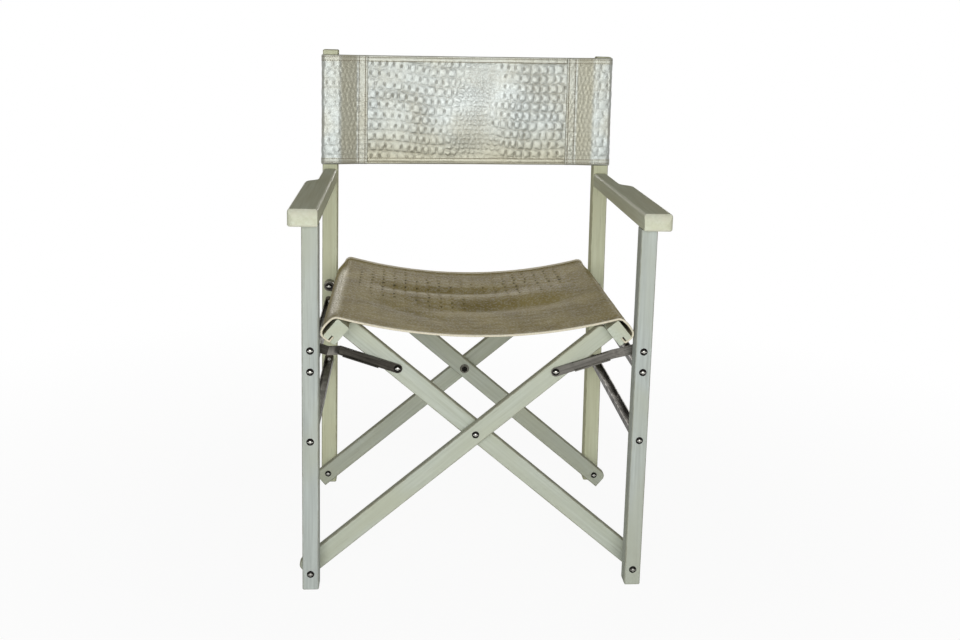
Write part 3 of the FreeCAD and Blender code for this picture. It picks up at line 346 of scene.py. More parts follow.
@dataclass(frozen=True)
class SteelFinish:
    """Dark pressed sheet steel, brighter where it is rubbed."""

    name: str
    dark: Colour
    bright: Colour
    rubbed_and_lit: Colour
    grain: Grain
    roughness: float = 0.4

    def material(self) -> Material:
        """Make the node material.

        Returns:
            The material.
        """
        made = Shader(self.name)
        place = made.turned(made.coordinates("Object"), self.grain)
        drawn = made.noise(made.stretch(place, (1.0, 1.0, 0.03)), 500.0, 4.0)
        stain = made.noise(place, 55.0, 4.0, 0.5)
        pits = made.noise(place, 1500.0, 2.0)
        tone = made.blend(made.between(drawn, 0.35, 0.7, 0.0, 1.0), self.dark, self.bright)
        tone = made.blend(made.between(stain, 0.5, 0.7, 0.0, 0.6), tone, self.dark)
        handling_and_light = made.between(stain, 0.3, 0.6, 0.3, 0.9)
        edge_share = made.sum("MULTIPLY", made.edge(self.grain), handling_and_light)
        made.set("Base Color", made.blend(edge_share, tone, self.rubbed_and_lit))
        made.set("Metallic", 1.0)
        low, high = self.roughness - 0.08, self.roughness + 0.12
        made.set("Roughness", made.between(stain, 0.35, 0.65, low, high))
        ribbed = made.bump(drawn, 0.12, 0.0003)
        made.set("Normal", made.bump(pits, 0.1, 0.0002, Normal=ribbed))
        return made.material


@dataclass(frozen=True)
class BoltFinish:
    """Blackened bolts with a pale painted highlight on their domes; those behind unlit_from stay
    black.
    """

    name: str
    black: Colour
    bright: Colour
    unlit_from: float = 1.0
    roughness: float = 0.27

    def material(self) -> Material:
        """Make the node material.

        Returns:
            The material.
        """
        made = Shader(self.name)
        place = made.coordinates("Object")
        facing = made.sum("ABSOLUTE", made.parts(made.coordinates("Normal"))[1])
        scuffs = made.noise(place, 900.0, 3.0)
        # Painted highlight: dome faces that look along the depth are painted pale, only in front of
        # the depth limit.
        dome_highlight = made.between(facing, 0.93, 0.985, 0.0, 1.0)
        shown = made.sum("LESS_THAN", made.parts(place)[1], self.unlit_from)
        handling_and_light = made.between(scuffs, 0.3, 0.6, 0.7, 1.0)
        share = made.sum("MULTIPLY", made.sum("MULTIPLY", dome_highlight, shown), handling_and_light)
        made.set("Base Color", made.blend(share, self.black, self.bright))
        made.set("Metallic", 1.0)
        low, high = self.roughness - 0.07, self.roughness + 0.12
        made.set("Roughness", made.between(scuffs, 0.3, 0.7, low, high))
        made.set("Normal", made.bump(scuffs, 0.1, 0.0002))
        return made.material


@dataclass(frozen=True)
class LeatherFinish:
    """Embossed leather with a pearly coat, darker in the grooves, with painted highlights and
    painted shade stored on the mesh.
    """

    name: str
    face: Colour
    tint: Colour
    groove: Colour
    rubbed_and_lit: Colour
    shaded_and_soiled: Colour
    roughness: float
    metallic: float = 0.0
    highlight_metallic: float = 0.0
    shine: float = 0.5
    dark_share: float = 0.8
    specks: float = 0.15

    def material(self) -> Material:
        """Make the node material.

        Returns:
            The material.
        """
        made = Shader(self.name)
        place = made.coordinates("UV")
        cloud = made.noise(place, 14.0, 3.0, 0.5)
        grain = made.cells(place, 950.0)
        dots = made.cells(made.stretch(place, (1.0, 0.8, 1.0)), 230.0)
        creases = made.noise(made.stretch(place, (1.0, 2.2, 1.0)), 420.0, 4.0)
        grooves = made.attribute("groove")
        tone = made.blend(made.between(cloud, 0.36, 0.66, 0.0, 1.0), self.face, self.tint)
        tone = made.blend(made.between(creases, 0.56, 0.78, 0.0, 0.35), tone, self.groove)
        tone = made.blend(made.between(dots, 0.1, 0.55, self.specks, 0.0), tone, self.rubbed_and_lit)
        # Painted shade and darker tone, stored on the mesh, are mixed in here.
        tone = made.blend(made.attribute("shade_and_soil"), tone, self.shaded_and_soiled)
        tone = made.blend(made.between(grooves, 0.08, 1.0, 0.0, self.dark_share), tone, self.groove)
        # Painted highlight stored on the mesh: made pale, and metallic where asked.
        broken = made.between(made.noise(place, 340.0, 3.0), 0.4, 0.62, 0.15, 1.0)
        highlight_and_wear_share = made.sum("MULTIPLY", made.attribute("highlight_and_wear"), broken)
        made.set("Base Color", made.blend(highlight_and_wear_share, tone, self.rubbed_and_lit))
        if self.highlight_metallic:
            made.set("Metallic", made.sum("MULTIPLY", highlight_and_wear_share, self.highlight_metallic))
        else:
            made.set("Metallic", self.metallic)
        spread = made.between(creases, 0.3, 0.7, self.roughness - 0.05, self.roughness + 0.1)
        made.set("Roughness", made.sum("ADD", spread, made.between(grooves, 0.0, 1.0, 0.0, 0.22)))
        made.set("Specular IOR Level", self.shine)
        wrinkled = made.bump(creases, 0.3, 0.0009)
        made.set("Normal", made.bump(grain, 0.2, 0.0005, Normal=wrinkled))
        return made.material


@dataclass(frozen=True)
class EdgeFinish:
    """Cream painted cut edge, or the suede back of the leather."""

    name: str
    light: Colour
    dark: Colour
    scale: float = 320.0
    roughness: float = 0.62

    def material(self) -> Material:
        """Make the node material.

        Returns:
            The material.
        """
        made = Shader(self.name)
        place = made.coordinates("Object")
        nap = made.noise(place, self.scale, 4.0)
        cloud = made.noise(place, 30.0, 3.0)
        tone = made.blend(made.between(nap, 0.35, 0.7, 0.0, 0.8), self.light, self.dark)
        made.set("Base Color", made.blend(made.between(cloud, 0.5, 0.7, 0.0, 0.4), tone, self.dark))
        made.set("Roughness", made.between(nap, 0.3, 0.7, self.roughness, self.roughness + 0.2))
        made.set("Normal", made.bump(nap, 0.25, 0.0005))
        return made.material


@dataclass(frozen=True)
class ThreadFinish:
    """Twisted sewing thread."""

    name: str
    light: Colour
    dark: Colour

    def material(self) -> Material:
        """Make the node material.

        Returns:
            The material.
        """
        made = Shader(self.name)
        twist = made.noise(made.coordinates("Object"), 2600.0, 2.0)
        tone = made.blend(made.between(twist, 0.35, 0.65, 0.0, 1.0), self.light, self.dark)
        made.set("Base Color", tone)
        made.set("Roughness", made.between(twist, 0.3, 0.7, 0.5, 0.75))
        made.set("Normal", made.bump(twist, 0.3, 0.0002))
        return made.material


@dataclass(frozen=True)
class Corner:
    """A corner of a leather strip's path and the radius that it bends with."""

    across: float
    up: float
    bend: float = 0.0


class StripPath:
    """A path of straight runs and round bends that is walked by its length."""

    shortest = 1e-7

    def __init__(self, corners: Sequence[Corner]) -> None:
        """Lay out the runs and bends.

        Args:
            corners: The path's corners in order; the first and last are its ends.
        """
        points = [Vector((c.across, c.up)) for c in corners]
        self.runs: list[tuple[float, Callable[[float], PlaceAndNormal]]] = []
        start = points[0]
        for i in range(1, len(points)):
            ahead = (points[i] - points[i - 1]).normalized()
            if i == len(points) - 1:
                self._add_line(start, points[i])
                break
            after = (points[i + 1] - points[i]).normalized()
            turn = math.atan2(ahead.x * after.y - ahead.y * after.x, ahead.dot(after))
            inset = corners[i].bend * abs(math.tan(turn / 2))
            self._add_line(start, points[i] - ahead * inset)
            if inset > 0:
                self._add_bend(points[i] - ahead * inset, ahead, corners[i].bend, turn)
            start = points[i] + after * inset
        self.length = sum(length for length, _ in self.runs)

    def _add_line(self, start: Vector, end: Vector) -> None:
        """Add a straight run, unless it has no length.

        Args:
            start: Where it starts.
            end: Where it ends.
        """
        reach = (end - start).length
        if reach < self.shortest:
            return
        ahead = (end - start) / reach
        left = Vector((-ahead.y, ahead.x))
        self.runs.append((reach, lambda s: (start + ahead * s, left)))

    def _add_bend(self, start: Vector, ahead: Vector, radius: float, turn: float) -> None:
        """Add a round bend.

        Args:
            start: Where it starts.
            ahead: The direction that it starts in.
            radius: Its radius.
            turn: The angle that it turns by, positive to the left.
        """
        side = math.copysign(1.0, turn)
        left = Vector((-ahead.y, ahead.x))
        centre = start + left * radius * side

        def at(s: float) -> PlaceAndNormal:
            """The place and normal at a length from the bend's start."""
            spin = Matrix.Rotation(s / radius * side, 2)
            return centre + spin @ (start - centre), spin @ left

        self.runs.append((abs(turn) * radius, at))

    def at(self, distance: float) -> PlaceAndNormal:
        """A place on the path and its left-hand normal.

        Args:
            distance: Length from the path's start.

        Returns:
            The place and the normal.
        """
        rest = distance
        for length, run in self.runs[:-1]:
            if rest <= length:
                return run(rest)
            rest -= length
        return self.runs[-1][1](min(rest, self.runs[-1][0]))


@dataclass(frozen=True)
class Emboss:
    """The emboss at one place: a scale's cushion, the groove round it and a dark mark."""

    cushion: float
    groove: float
    mark: float


@dataclass
class ScalePattern:
    """Embossed scales: square ones in rows, with fields of small round ones between them."""

    width: float
    height: float
    seed: int
    pitch: float = 0.0152
    row: float = 0.0182
    small: float = 0.0076
    uneven: float = 1.0
    columns: bool = False
    mark_wide: float = 0.0013
    mark_long: float = 0.0052
    curl: float = 75.0
    groove_wide: float = 0.0022
    wobble: float = 0.0013
    wobble_fine: float = 150.0
    pair_from: float = 0.45
    mark_until: float = 0.35
    rise: Callable[[float, float], float] = lambda u, v: 0.0
    field_at: Callable[[float, float], float] = lambda u, v: 0.0
    tree: KDTree = field(init=False, repr=False)
    mark_tree: KDTree = field(init=False, repr=False)
    strengths: list[float] = field(init=False, repr=False)

    def __post_init__(self) -> None:
        """Scatter the scales' middles and the dark marks between neighbours of a row."""
        dice = random.Random(self.seed)
        middles: list[Pair] = []
        marks: list[Pair] = []
        for r in range(-3, int(self.height / self.row) + 4):
            level = (r + 0.5) * self.row
            u = -self.width / 2 - self.pitch * (1.0 if self.columns else 1.0 + dice.random())
            last: Optional[Pair] = None
            while u < self.width / 2 + 2 * self.pitch:
                share = self.field_at(u, level + self.rise(u, level))
                step = self.pitch + (self.small - self.pitch) * share
                jitter = (0.1 + 0.16 * share) * self.uneven
                for part in (-0.25, 0.25) if share > self.pair_from else (0.0,):
                    across = u + step * dice.uniform(-jitter, jitter) + step * part * share
                    up = level + self.row * (part + self.uneven * dice.uniform(-0.07, 0.07))
                    middles.append((across, up + self.rise(across, up)))
                here = middles[-1]
                if last and share < self.mark_until:
                    marks.append(((last[0] + here[0]) / 2, (last[1] + here[1]) / 2))
                last = here if share < self.mark_until else None
                u += step * (1.0 if self.columns else 1.0 + self.uneven * dice.uniform(-0.26, 0.3))
        self.strengths = [smooth(-0.3, 0.8, dice.random()) for _ in marks]
        self.tree, self.mark_tree = self._plant(middles), self._plant(marks)

    @staticmethod
    def _plant(spots: list[Pair]) -> KDTree:
        """Make a search tree over flat places.

        Args:
            spots: The places.

        Returns:
            The tree.
        """
        tree = KDTree(len(spots))
        for i, (u, v) in enumerate(spots):
            tree.insert((u, v, 0.0), i)
        tree.balance()
        return tree

    def read(self, u: float, v: float) -> Emboss:
        """The emboss at a place.

        Args:
            u: Across, from the middle.
            v: Along, from the lower edge.

        Returns:
            Its cushion, groove and mark, each from 0 to about 1.
        """
        fine = (u * self.wobble_fine, v * self.wobble_fine)
        du = self.wobble * noise.noise((*fine, 3.1))
        dv = self.wobble * noise.noise((*fine, 7.7))
        here = (u + du, v + dv, 0.0)
        near = [hit[2] for hit in self.tree.find_n(here, 2)]
        level = (here[1] - self.rise(u, v)) / self.row
        crease = 1.0 - smooth(0.0, 0.1, abs(level - round(level)))
        crease *= 1.0 - self.field_at(u, v)
        cushion = 1.0 - (2.0 * near[0] / (near[0] + near[1] + 1e-9)) ** 2.4
        groove = 1.0 - smooth(0.0, self.groove_wide, near[1] - near[0])
        pressed = 0.8 + 0.45 * noise.noise((u * 24.0, v * 28.0, 5.5))
        spot, index, _ = self.mark_tree.find(here)
        above = here[1] - spot.y
        aside = here[0] - spot.x - self.curl * above * above
        oval = math.hypot(aside / self.mark_wide, above / self.mark_long)
        mark = self.strengths[index] * (1.0 - smooth(0.35, 1.15, oval))
        ring = 0.16 * noise.noise((u * 330.0, v * 330.0, 1.9))
        raised = cushion + ring - 0.12 * crease
        return Emboss(pressed * raised, pressed * (0.42 * groove + 0.2 * crease), mark)


@dataclass(frozen=True)
class SheetPoint:
    """A point of a leather sheet and, from 0 to 1, its groove, thickness, painted highlight and
    wear, and painted shade and darker tone.
    """

    place: Vector
    groove: float
    body: float = 1.0
    highlight_and_wear: float = 0.0
    shade_and_soil: float = 0.0


def new_object(
    name: str, bm: bmesh.types.BMesh, materials: Iterable[Material]
) -> Piece:
    """Turn a bmesh into a smooth object in the scene.

    Args:
        name: The piece's name.
        bm: The mesh, which is freed.
        materials: Its material slots in order.

    Returns:
        The object.
    """
    mesh = bpy.data.meshes.new(name)
    bm.to_mesh(mesh)
    bm.free()
    for material in materials:
        mesh.materials.append(material)
    mesh.shade_smooth()
    made = bpy.data.objects.new(name, mesh)
    bpy.context.scene.collection.objects.link(made)
    return made


def sheet_grid(
    width: float, length: float, step: float, put: Callable[[float, float], SheetPoint]
) -> bmesh.types.BMesh:
    """A fine sheet whose points are put on a surface.

    Args:
        width: Size of the flat sheet across.
        length: Size of the flat sheet along.
        step: Wanted size of a face.
        put: Gives the point for a place on the flat sheet.

    Returns:
        The sheet with its numbers stored in layers of their names, and a UV map in metres.
    """
    bm = bmesh.new()
    uv = bm.loops.layers.uv.new("UVMap")
    layers = {name: bm.verts.layers.float.new(name) for name in ("groove", "body", "highlight_and_wear", "shade_and_soil")}
    across, along = max(2, round(width / step)), max(2, round(length / step))
    bmesh.ops.create_grid(bm, x_segments=across, y_segments=along, size=0.5)
    for face in bm.faces:
        for loop in face.loops:
            flat = loop.vert.co
            loop[uv].uv = (flat.x * width + 0.5, flat.y * length + 0.5)
    for vert in bm.verts:
        spot = put(vert.co.x * width, (vert.co.y + 0.5) * length)
        vert.co = spot.place
        for name, layer in layers.items():
            vert[layer] = getattr(spot, name)
    return bm


def thicken(piece: Piece, thickness: float, thinnest: float = 0.0) -> None:
    """Thicken a sheet against its normals, with its back in slot 1 and its cut edge in slot 2.

    Args:
        piece: The sheet.
        thickness: Thickness where the layer body is 1.
        thinnest: Share of the thickness where body is 0.
    """
    group = piece.vertex_groups.new(name="body")
    for i, item in enumerate(piece.data.attributes["body"].data):
        group.add([i], item.value, "REPLACE")
    shell = piece.modifiers.new("thickness", "SOLIDIFY")
    shell.thickness = thickness
    shell.offset = -1.0
    shell.vertex_group = group.name
    shell.thickness_vertex_group = thinnest
    shell.material_offset = 1
    shell.material_offset_rim = 2
    shell.use_even_offset = False
    shell.use_quality_normals = True


@dataclass
class Seams:
    """Rows of stitches that follow a surface."""

    place: Callable[[float, float], PlaceAndNormal]
    long: float = 0.0031
    gap: float = 0.0012
    thick: float = 0.00055
    proud: float = 0.35
    flat: float = 0.8
    bm: bmesh.types.BMesh = field(default_factory=bmesh.new)
    count: int = 0

    def sew(self, start: Pair, end: Pair) -> None:
        """Add a straight row of stitches.

        Args:
            start: Where the row starts on the flat sheet.
            end: Where it ends.
        """
        begin, stop = Vector(start), Vector(end)
        pieces = max(1, round((stop - begin).length / (self.long + self.gap)))
        for i in range(pieces):
            first = begin.lerp(stop, i / pieces)
            last = begin.lerp(stop, (i + self.long / (self.long + self.gap)) / pieces)
            head, out = self.place(*first)
            tail, _ = self.place(*last)
            ahead = tail - head
            side = out.cross(ahead).normalized()
            turned = Matrix((ahead.normalized(), side, out)).transposed().to_4x4()
            turned.translation = (head + tail) / 2 + out * self.thick * self.proud
            sizes = (ahead.length / 2, self.thick, self.thick * self.flat, 1.0)
            turned = turned @ Matrix.Diagonal(sizes)
            bmesh.ops.create_icosphere(self.bm, subdivisions=1, radius=1.0, matrix=turned)
            self.count += 1


@dataclass
class BackSling:
    """The back: a sleeve on each post and an embossed panel sewn between them."""

    front: LeatherFinish
    suede: EdgeFinish
    cut: EdgeFinish
    thread: ThreadFinish
    post_x: float = 0.262
    foot_y: float = 0.209245
    low: float = 0.634
    high: float = 0.84175
    crooked: float = 0.0134
    panel_half: float = 0.1917
    lap: float = 0.017
    bow: float = 0.0045
    wave: float = 0.0011
    flat_from: float = 0.11
    leather: float = 0.0022
    highest: float = 0.0009
    pocket: float = 0.0049
    reach: float = 0.051
    band: float = 0.019
    sleeve_half: float = 0.017
    sleeve_depth: float = 0.01748
    sleeve_inset: float = 0.0015
    sleeve_bends: Triple = (0.01, 0.009, 0.0072)
    hem: float = 0.0125
    hem_blur: float = 0.0012
    hem_high: float = 0.00045
    hem_rows: Pair = (0.004, 0.0111)
    hem_seam_half: float = 0.0011
    hem_seam_deep: float = 0.0004
    hem_darkening: float = 0.4
    band_rows: Pair = (0.0045, 0.0165)
    band_seam_half: float = 0.0012
    band_seam_deep: float = 0.00035
    seam_dark: float = 0.7
    row_end: float = 0.0018
    band_row_end: float = 0.003
    cushion_high: float = 0.0015
    mark_deep: float = 0.001
    rim_wide: float = 0.0026
    rim_deep: float = 0.0009
    side_press: float = 0.55
    # Painted shade at the panel's foot, a painted highlight in its middle, and painted shade and
    # reflection in the sleeves' front recesses.
    foot_shade: float = 0.85
    sheen: float = 0.36
    hollow_shade: float = 0.75
    hollow_zone: Pair = (0.047, 0.056)
    small_patches: tuple[tuple[float, Pair, Pair], ...] = (
        (1.0, (0.026, 0.165), (0.034, 0.05)),
        (1.0, (0.012, 0.035), (0.052, 0.045)),
        (0.62, (-0.002, 0.1), (0.03, 0.06)),
    )
    side_small: Pair = (0.046, 0.054)
    panel_step: float = 0.0014
    sleeve_step: float = 0.0015
    folded: float = 0.3082
    pieces: list[Piece] = field(default_factory=list)

    def __post_init__(self) -> None:
        """Prepare the finishes and the emboss."""
        self.height = self.high - self.low
        self.thickest = self.leather + self.highest
        self.materials = [f.material() for f in (self.front, self.suede, self.cut)]
        self.thread_material = self.thread.material()
        self.scales = ScalePattern(
            width=2 * self.panel_half,
            height=self.height,
            seed=11,
            rise=self.row_rise,
            field_at=self.small_field,
        )
        self.side_scales = ScalePattern(
            width=0.3,
            height=self.height,
            seed=29,
            pitch=0.017,
            field_at=lambda u, v: smooth(*self.side_small, abs(u)),
        )

    def small_field(self, u: float, v: float) -> float:
        """How much a place of the panel has small round scales, 0 to 1."""
        return min(1.0, sum(share * blot(u, v, *spot) for share, *spot in self.small_patches))

    def row_rise(self, u: float, v: float) -> float:
        """How far the rows of scales climb at a place of the panel."""
        slope = 0.02 + 0.11 * v / self.height if u < 0.0 else 0.04
        return -slope * u + 0.0022 * math.sin(u * 34.0 + 0.7)

    def place(self, across: float, depth: float, along: float) -> Vector:
        """A point of the back, with depth behind the leaning posts' middles and along up them."""
        up, foot = along + self.crooked * across, self.foot_y + depth * POST_COS
        return Vector((across, foot + up * POST_SIN, up * POST_COS - depth * POST_SIN))

    def hem_share(self, v: float) -> float:
        """How much a level lies in the turned hem at the lower or upper edge, 0 to 1."""
        edge = min(v, self.height - v)
        return 1.0 - smooth(self.hem - self.hem_blur, self.hem + self.hem_blur, edge)

    @staticmethod
    def seam(edge: float, rows: Pair, half: float) -> float:
        """How much a place so far from an edge lies in the dip of a row of stitches, 0 to 1."""
        return max(1.0 - smooth(0.0, half, abs(edge - row)) for row in rows)

    def relief(self, u: float, v: float, scales: ScalePattern, depth: float = 1.0) -> Pair:
        """Emboss and hems of the front face.

        Args:
            u: Across the pattern.
            v: Up from the lower edge.
            scales: The pattern.
            depth: How deep the scales are pressed, 1 as on the panel.

        Returns:
            The height over the plain leather, and the darkness of the grooves and of the marks,
            whose darkness is a painted crescent shadow.
        """
        emboss = scales.read(u, v)
        hem = self.hem_share(v)
        edge = min(v, self.height - v)
        seam = self.seam(edge, self.hem_rows, self.hem_seam_half)
        press = depth * (1.0 - 0.72 * hem)
        scale = self.cushion_high * (emboss.cushion - 0.6) - self.mark_deep * emboss.mark
        height = press * scale + self.hem_high * hem - self.hem_seam_deep * seam
        rim = 1.0 - smooth(0.0, self.rim_wide, edge)
        # The marks' dark colour is a painted crescent shadow beside the scales.
        dark = (0.35 + 0.65 * press) * max(emboss.groove, 0.62 * emboss.mark * (1.0 - 0.7 * hem))
        return height - self.rim_deep * rim, max(dark, self.seam_dark * seam)

    def body(self, lift: float) -> float:
        """Share of the full thickness that keeps the rear even under a raised or pressed place."""
        return max(0.12, (self.leather + lift) / self.thickest)

    def panel_point(self, u: float, v: float, lift: float = 0.0) -> Vector:
        """A point on the panel's front face.

        The panel bows to the rear, apart from its right part, which slides into the right sleeve's
        pocket when the chair folds.

        Args:
            u: Across, from the middle.
            v: Up from the lower edge.
            lift: How far the point is raised.

        Returns:
            The point in the chair's frame.
        """
        slack = max(0.0, 1.0 - (u / self.panel_half) ** 2) * (1.0 - smooth(0.0, self.flat_from, u))
        wave = self.wave * math.sin(u * 21.0 + 0.6) * math.sin(v * 15.0)
        return self.place(u, slack * (self.bow + wave) - self.leather / 2 - lift, self.low + v)

    def panel_sheet_point(self, u: float, v: float) -> SheetPoint:
        """A point of the panel with its emboss, painted shade towards its foot, darker hems and
        painted sheen.

        Args:
            u: Across, from the middle.
            v: Up from the lower edge.

        Returns:
            The point.
        """
        height, deep = self.relief(u, v, self.scales)
        # Painted shade: darker towards the foot, and darker hems; bright is a painted highlight in
        # the middle.
        foot = self.foot_shade * (1.0 - smooth(0.0, 0.1, v))
        shade_and_soil = max(foot, self.hem_darkening * self.hem_share(v))
        bright = self.sheen * blot(u, v, (0.015, 0.13), (0.085, 0.05))
        lift = height * smooth(-0.001, 0.002, self.panel_half - abs(u))
        return SheetPoint(self.panel_point(u, v, lift), deep, self.body(lift), bright, shade_and_soil)

    def panel_surface(self, u: float, v: float) -> PlaceAndNormal:
        """A point of the panel's front face and its outward normal."""
        height, _ = self.relief(u, v, self.scales)
        return self.panel_point(u, v, height), Vector((0.0, -POST_COS, POST_SIN))

    def sleeve_path(self, side: float) -> StripPath:
        """The sleeve's outline seen from above, from its front end round the post to its rear end.

        Args:
            side: -1 for the left post and 1 for the right one.

        Returns:
            The path in the plane across and depth.
        """
        seam_bend, inner_bend, outer_bend = self.sleeve_bends
        front = [
            (-self.reach - self.band, -self.pocket, 0.0),
            (-self.reach, -self.pocket, seam_bend),
            (-self.sleeve_half + self.sleeve_inset, -self.sleeve_depth, inner_bend),
            (self.sleeve_half, -self.sleeve_depth, outer_bend),
        ]
        rear = [(across, -depth, bend) for across, depth, bend in reversed(front)]
        middle = self.post_x * side
        return StripPath([Corner(middle + x * side, y, bend) for x, y, bend in front + rear])

    def sleeve(self, word: str, side: float) -> Piece:
        """Build one sleeve.

        Args:
            word: left or right.
            side: -1 or 1.

        Returns:
            The sleeve.
        """
        path = self.sleeve_path(side)
        half = path.length / 2

        def put(u: float, v: float) -> SheetPoint:
            """A point of the sleeve with its emboss, seams, darker hems and painted shade in its
            front recess.

            Args:
                u: Along the outline, from its middle.
                v: Up from the lower edge.

            Returns:
                The point.
            """
            spot, left = path.at(u + half)
            end = half - abs(u)
            hollow = smooth(*self.hollow_zone, -u)
            hollow *= smooth(self.band - 0.001, self.band + 0.004, end)
            press = self.side_press * (1.0 - 0.35 * hollow)
            height, deep = self.relief(u, v, self.side_scales, press)
            seam = self.seam(end, self.band_rows, self.band_seam_half)
            lift = height - self.band_seam_deep * seam
            spot = spot - left * side * lift
            sewn = max(self.hem_share(v), 1.0 - smooth(self.band - 0.004, self.band, end))
            # Painted shade and reflection: the front recess beside the post is darker and warmer.
            shade_and_soil = max(hollow * self.hollow_shade, self.hem_darkening * sewn)
            place = self.place(spot.x, spot.y, self.low + v)
            return SheetPoint(place, max(deep, self.seam_dark * seam), self.body(lift), shade_and_soil=shade_and_soil)

        bm = sheet_grid(path.length, self.height, self.sleeve_step, put)
        if side < 0:
            bmesh.ops.reverse_faces(bm, faces=bm.faces[:])
        made = new_object(f"back_sleeve_leather_{word}", bm, self.materials)
        thicken(made, self.thickest)
        return made

    def sleeve_surface(self, path: StripPath, side: float, s: float, v: float) -> PlaceAndNormal:
        """A point of a sleeve's outer face and its outward normal.

        Args:
            path: The sleeve's outline.
            side: -1 or 1.
            s: Length along the outline.
            v: Up from the lower edge.

        Returns:
            The point and the normal.
        """
        spot, left = path.at(s)
        out = -left * side
        height, _ = self.relief(s - path.length / 2, v, self.side_scales, self.side_press)
        here = spot + out * height
        base = self.place(spot.x, spot.y, self.low + v)
        outward = (self.place(spot.x + out.x, spot.y + out.y, self.low + v) - base).normalized()
        return self.place(here.x, here.y, self.low + v), outward

    def build(self) -> None:
        """Build the panel, the sleeves and their stitches, and let them move with the posts."""
        levels = [*self.hem_rows, *(self.height - row for row in self.hem_rows)]
        width = 2 * (self.panel_half + self.lap)
        bm = sheet_grid(width, self.height, self.panel_step, self.panel_sheet_point)
        panel = new_object("back_panel_leather", bm, self.materials)
        thicken(panel, self.thickest)
        rows = Seams(self.panel_surface)
        for v in levels:
            rows.sew((-self.panel_half, v), (self.panel_half, v))
        panel_thread = new_object("back_panel_thread", rows.bm, [self.thread_material])
        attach(panel, "side_left")
        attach(panel_thread, "side_left")
        for soft in (panel, panel_thread):
            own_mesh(soft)
        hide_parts("back_panel")
        self.pieces += [panel, panel_thread]
        log.info("back panel: %d stitches", rows.count)
        for word, side in SIDES:
            self.build_side(word, side, levels)

    def build_side(self, word: str, side: float, levels: Sequence[float]) -> None:
        """Build a sleeve and its stitches.

        Args:
            word: left or right.
            side: -1 or 1.
            levels: The heights of the rows of stitches in the hems.
        """
        made = self.sleeve(word, side)
        path = self.sleeve_path(side)
        seams = Seams(lambda s, v: self.sleeve_surface(path, side, s, v))
        for v in levels:
            seams.sew((self.row_end, v), (path.length - self.row_end, v))
        near, far = self.band_rows
        for s in (near, far, path.length - far, path.length - near):
            seams.sew((s, self.band_row_end), (s, self.height - self.band_row_end))
        thread = new_object(f"back_sleeve_thread_{word}", seams.bm, [self.thread_material])
        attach(made, f"side_{word}")
        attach(thread, f"side_{word}")
        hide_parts(f"back_sleeve_{word}")
        self.pieces += [made, thread]
        log.info("back sleeve %s: %d stitches", word, seams.count)


@dataclass(frozen=True)
class Fold:
    """A soft fold across the seat, which comes in between two places across the chair."""

    deep: float
    level: float
    slope: float
    spread: float
    none_at: float
    full_at: float

    def at(self, across: float, t: float) -> float:
        """Its depth at a place, with t from 0 at the seat's rear edge to 1 at the front."""
        off = (t - self.level + self.slope * across) / self.spread
        return self.deep * math.exp(-(off**2)) * smooth(self.none_at, self.full_at, across)


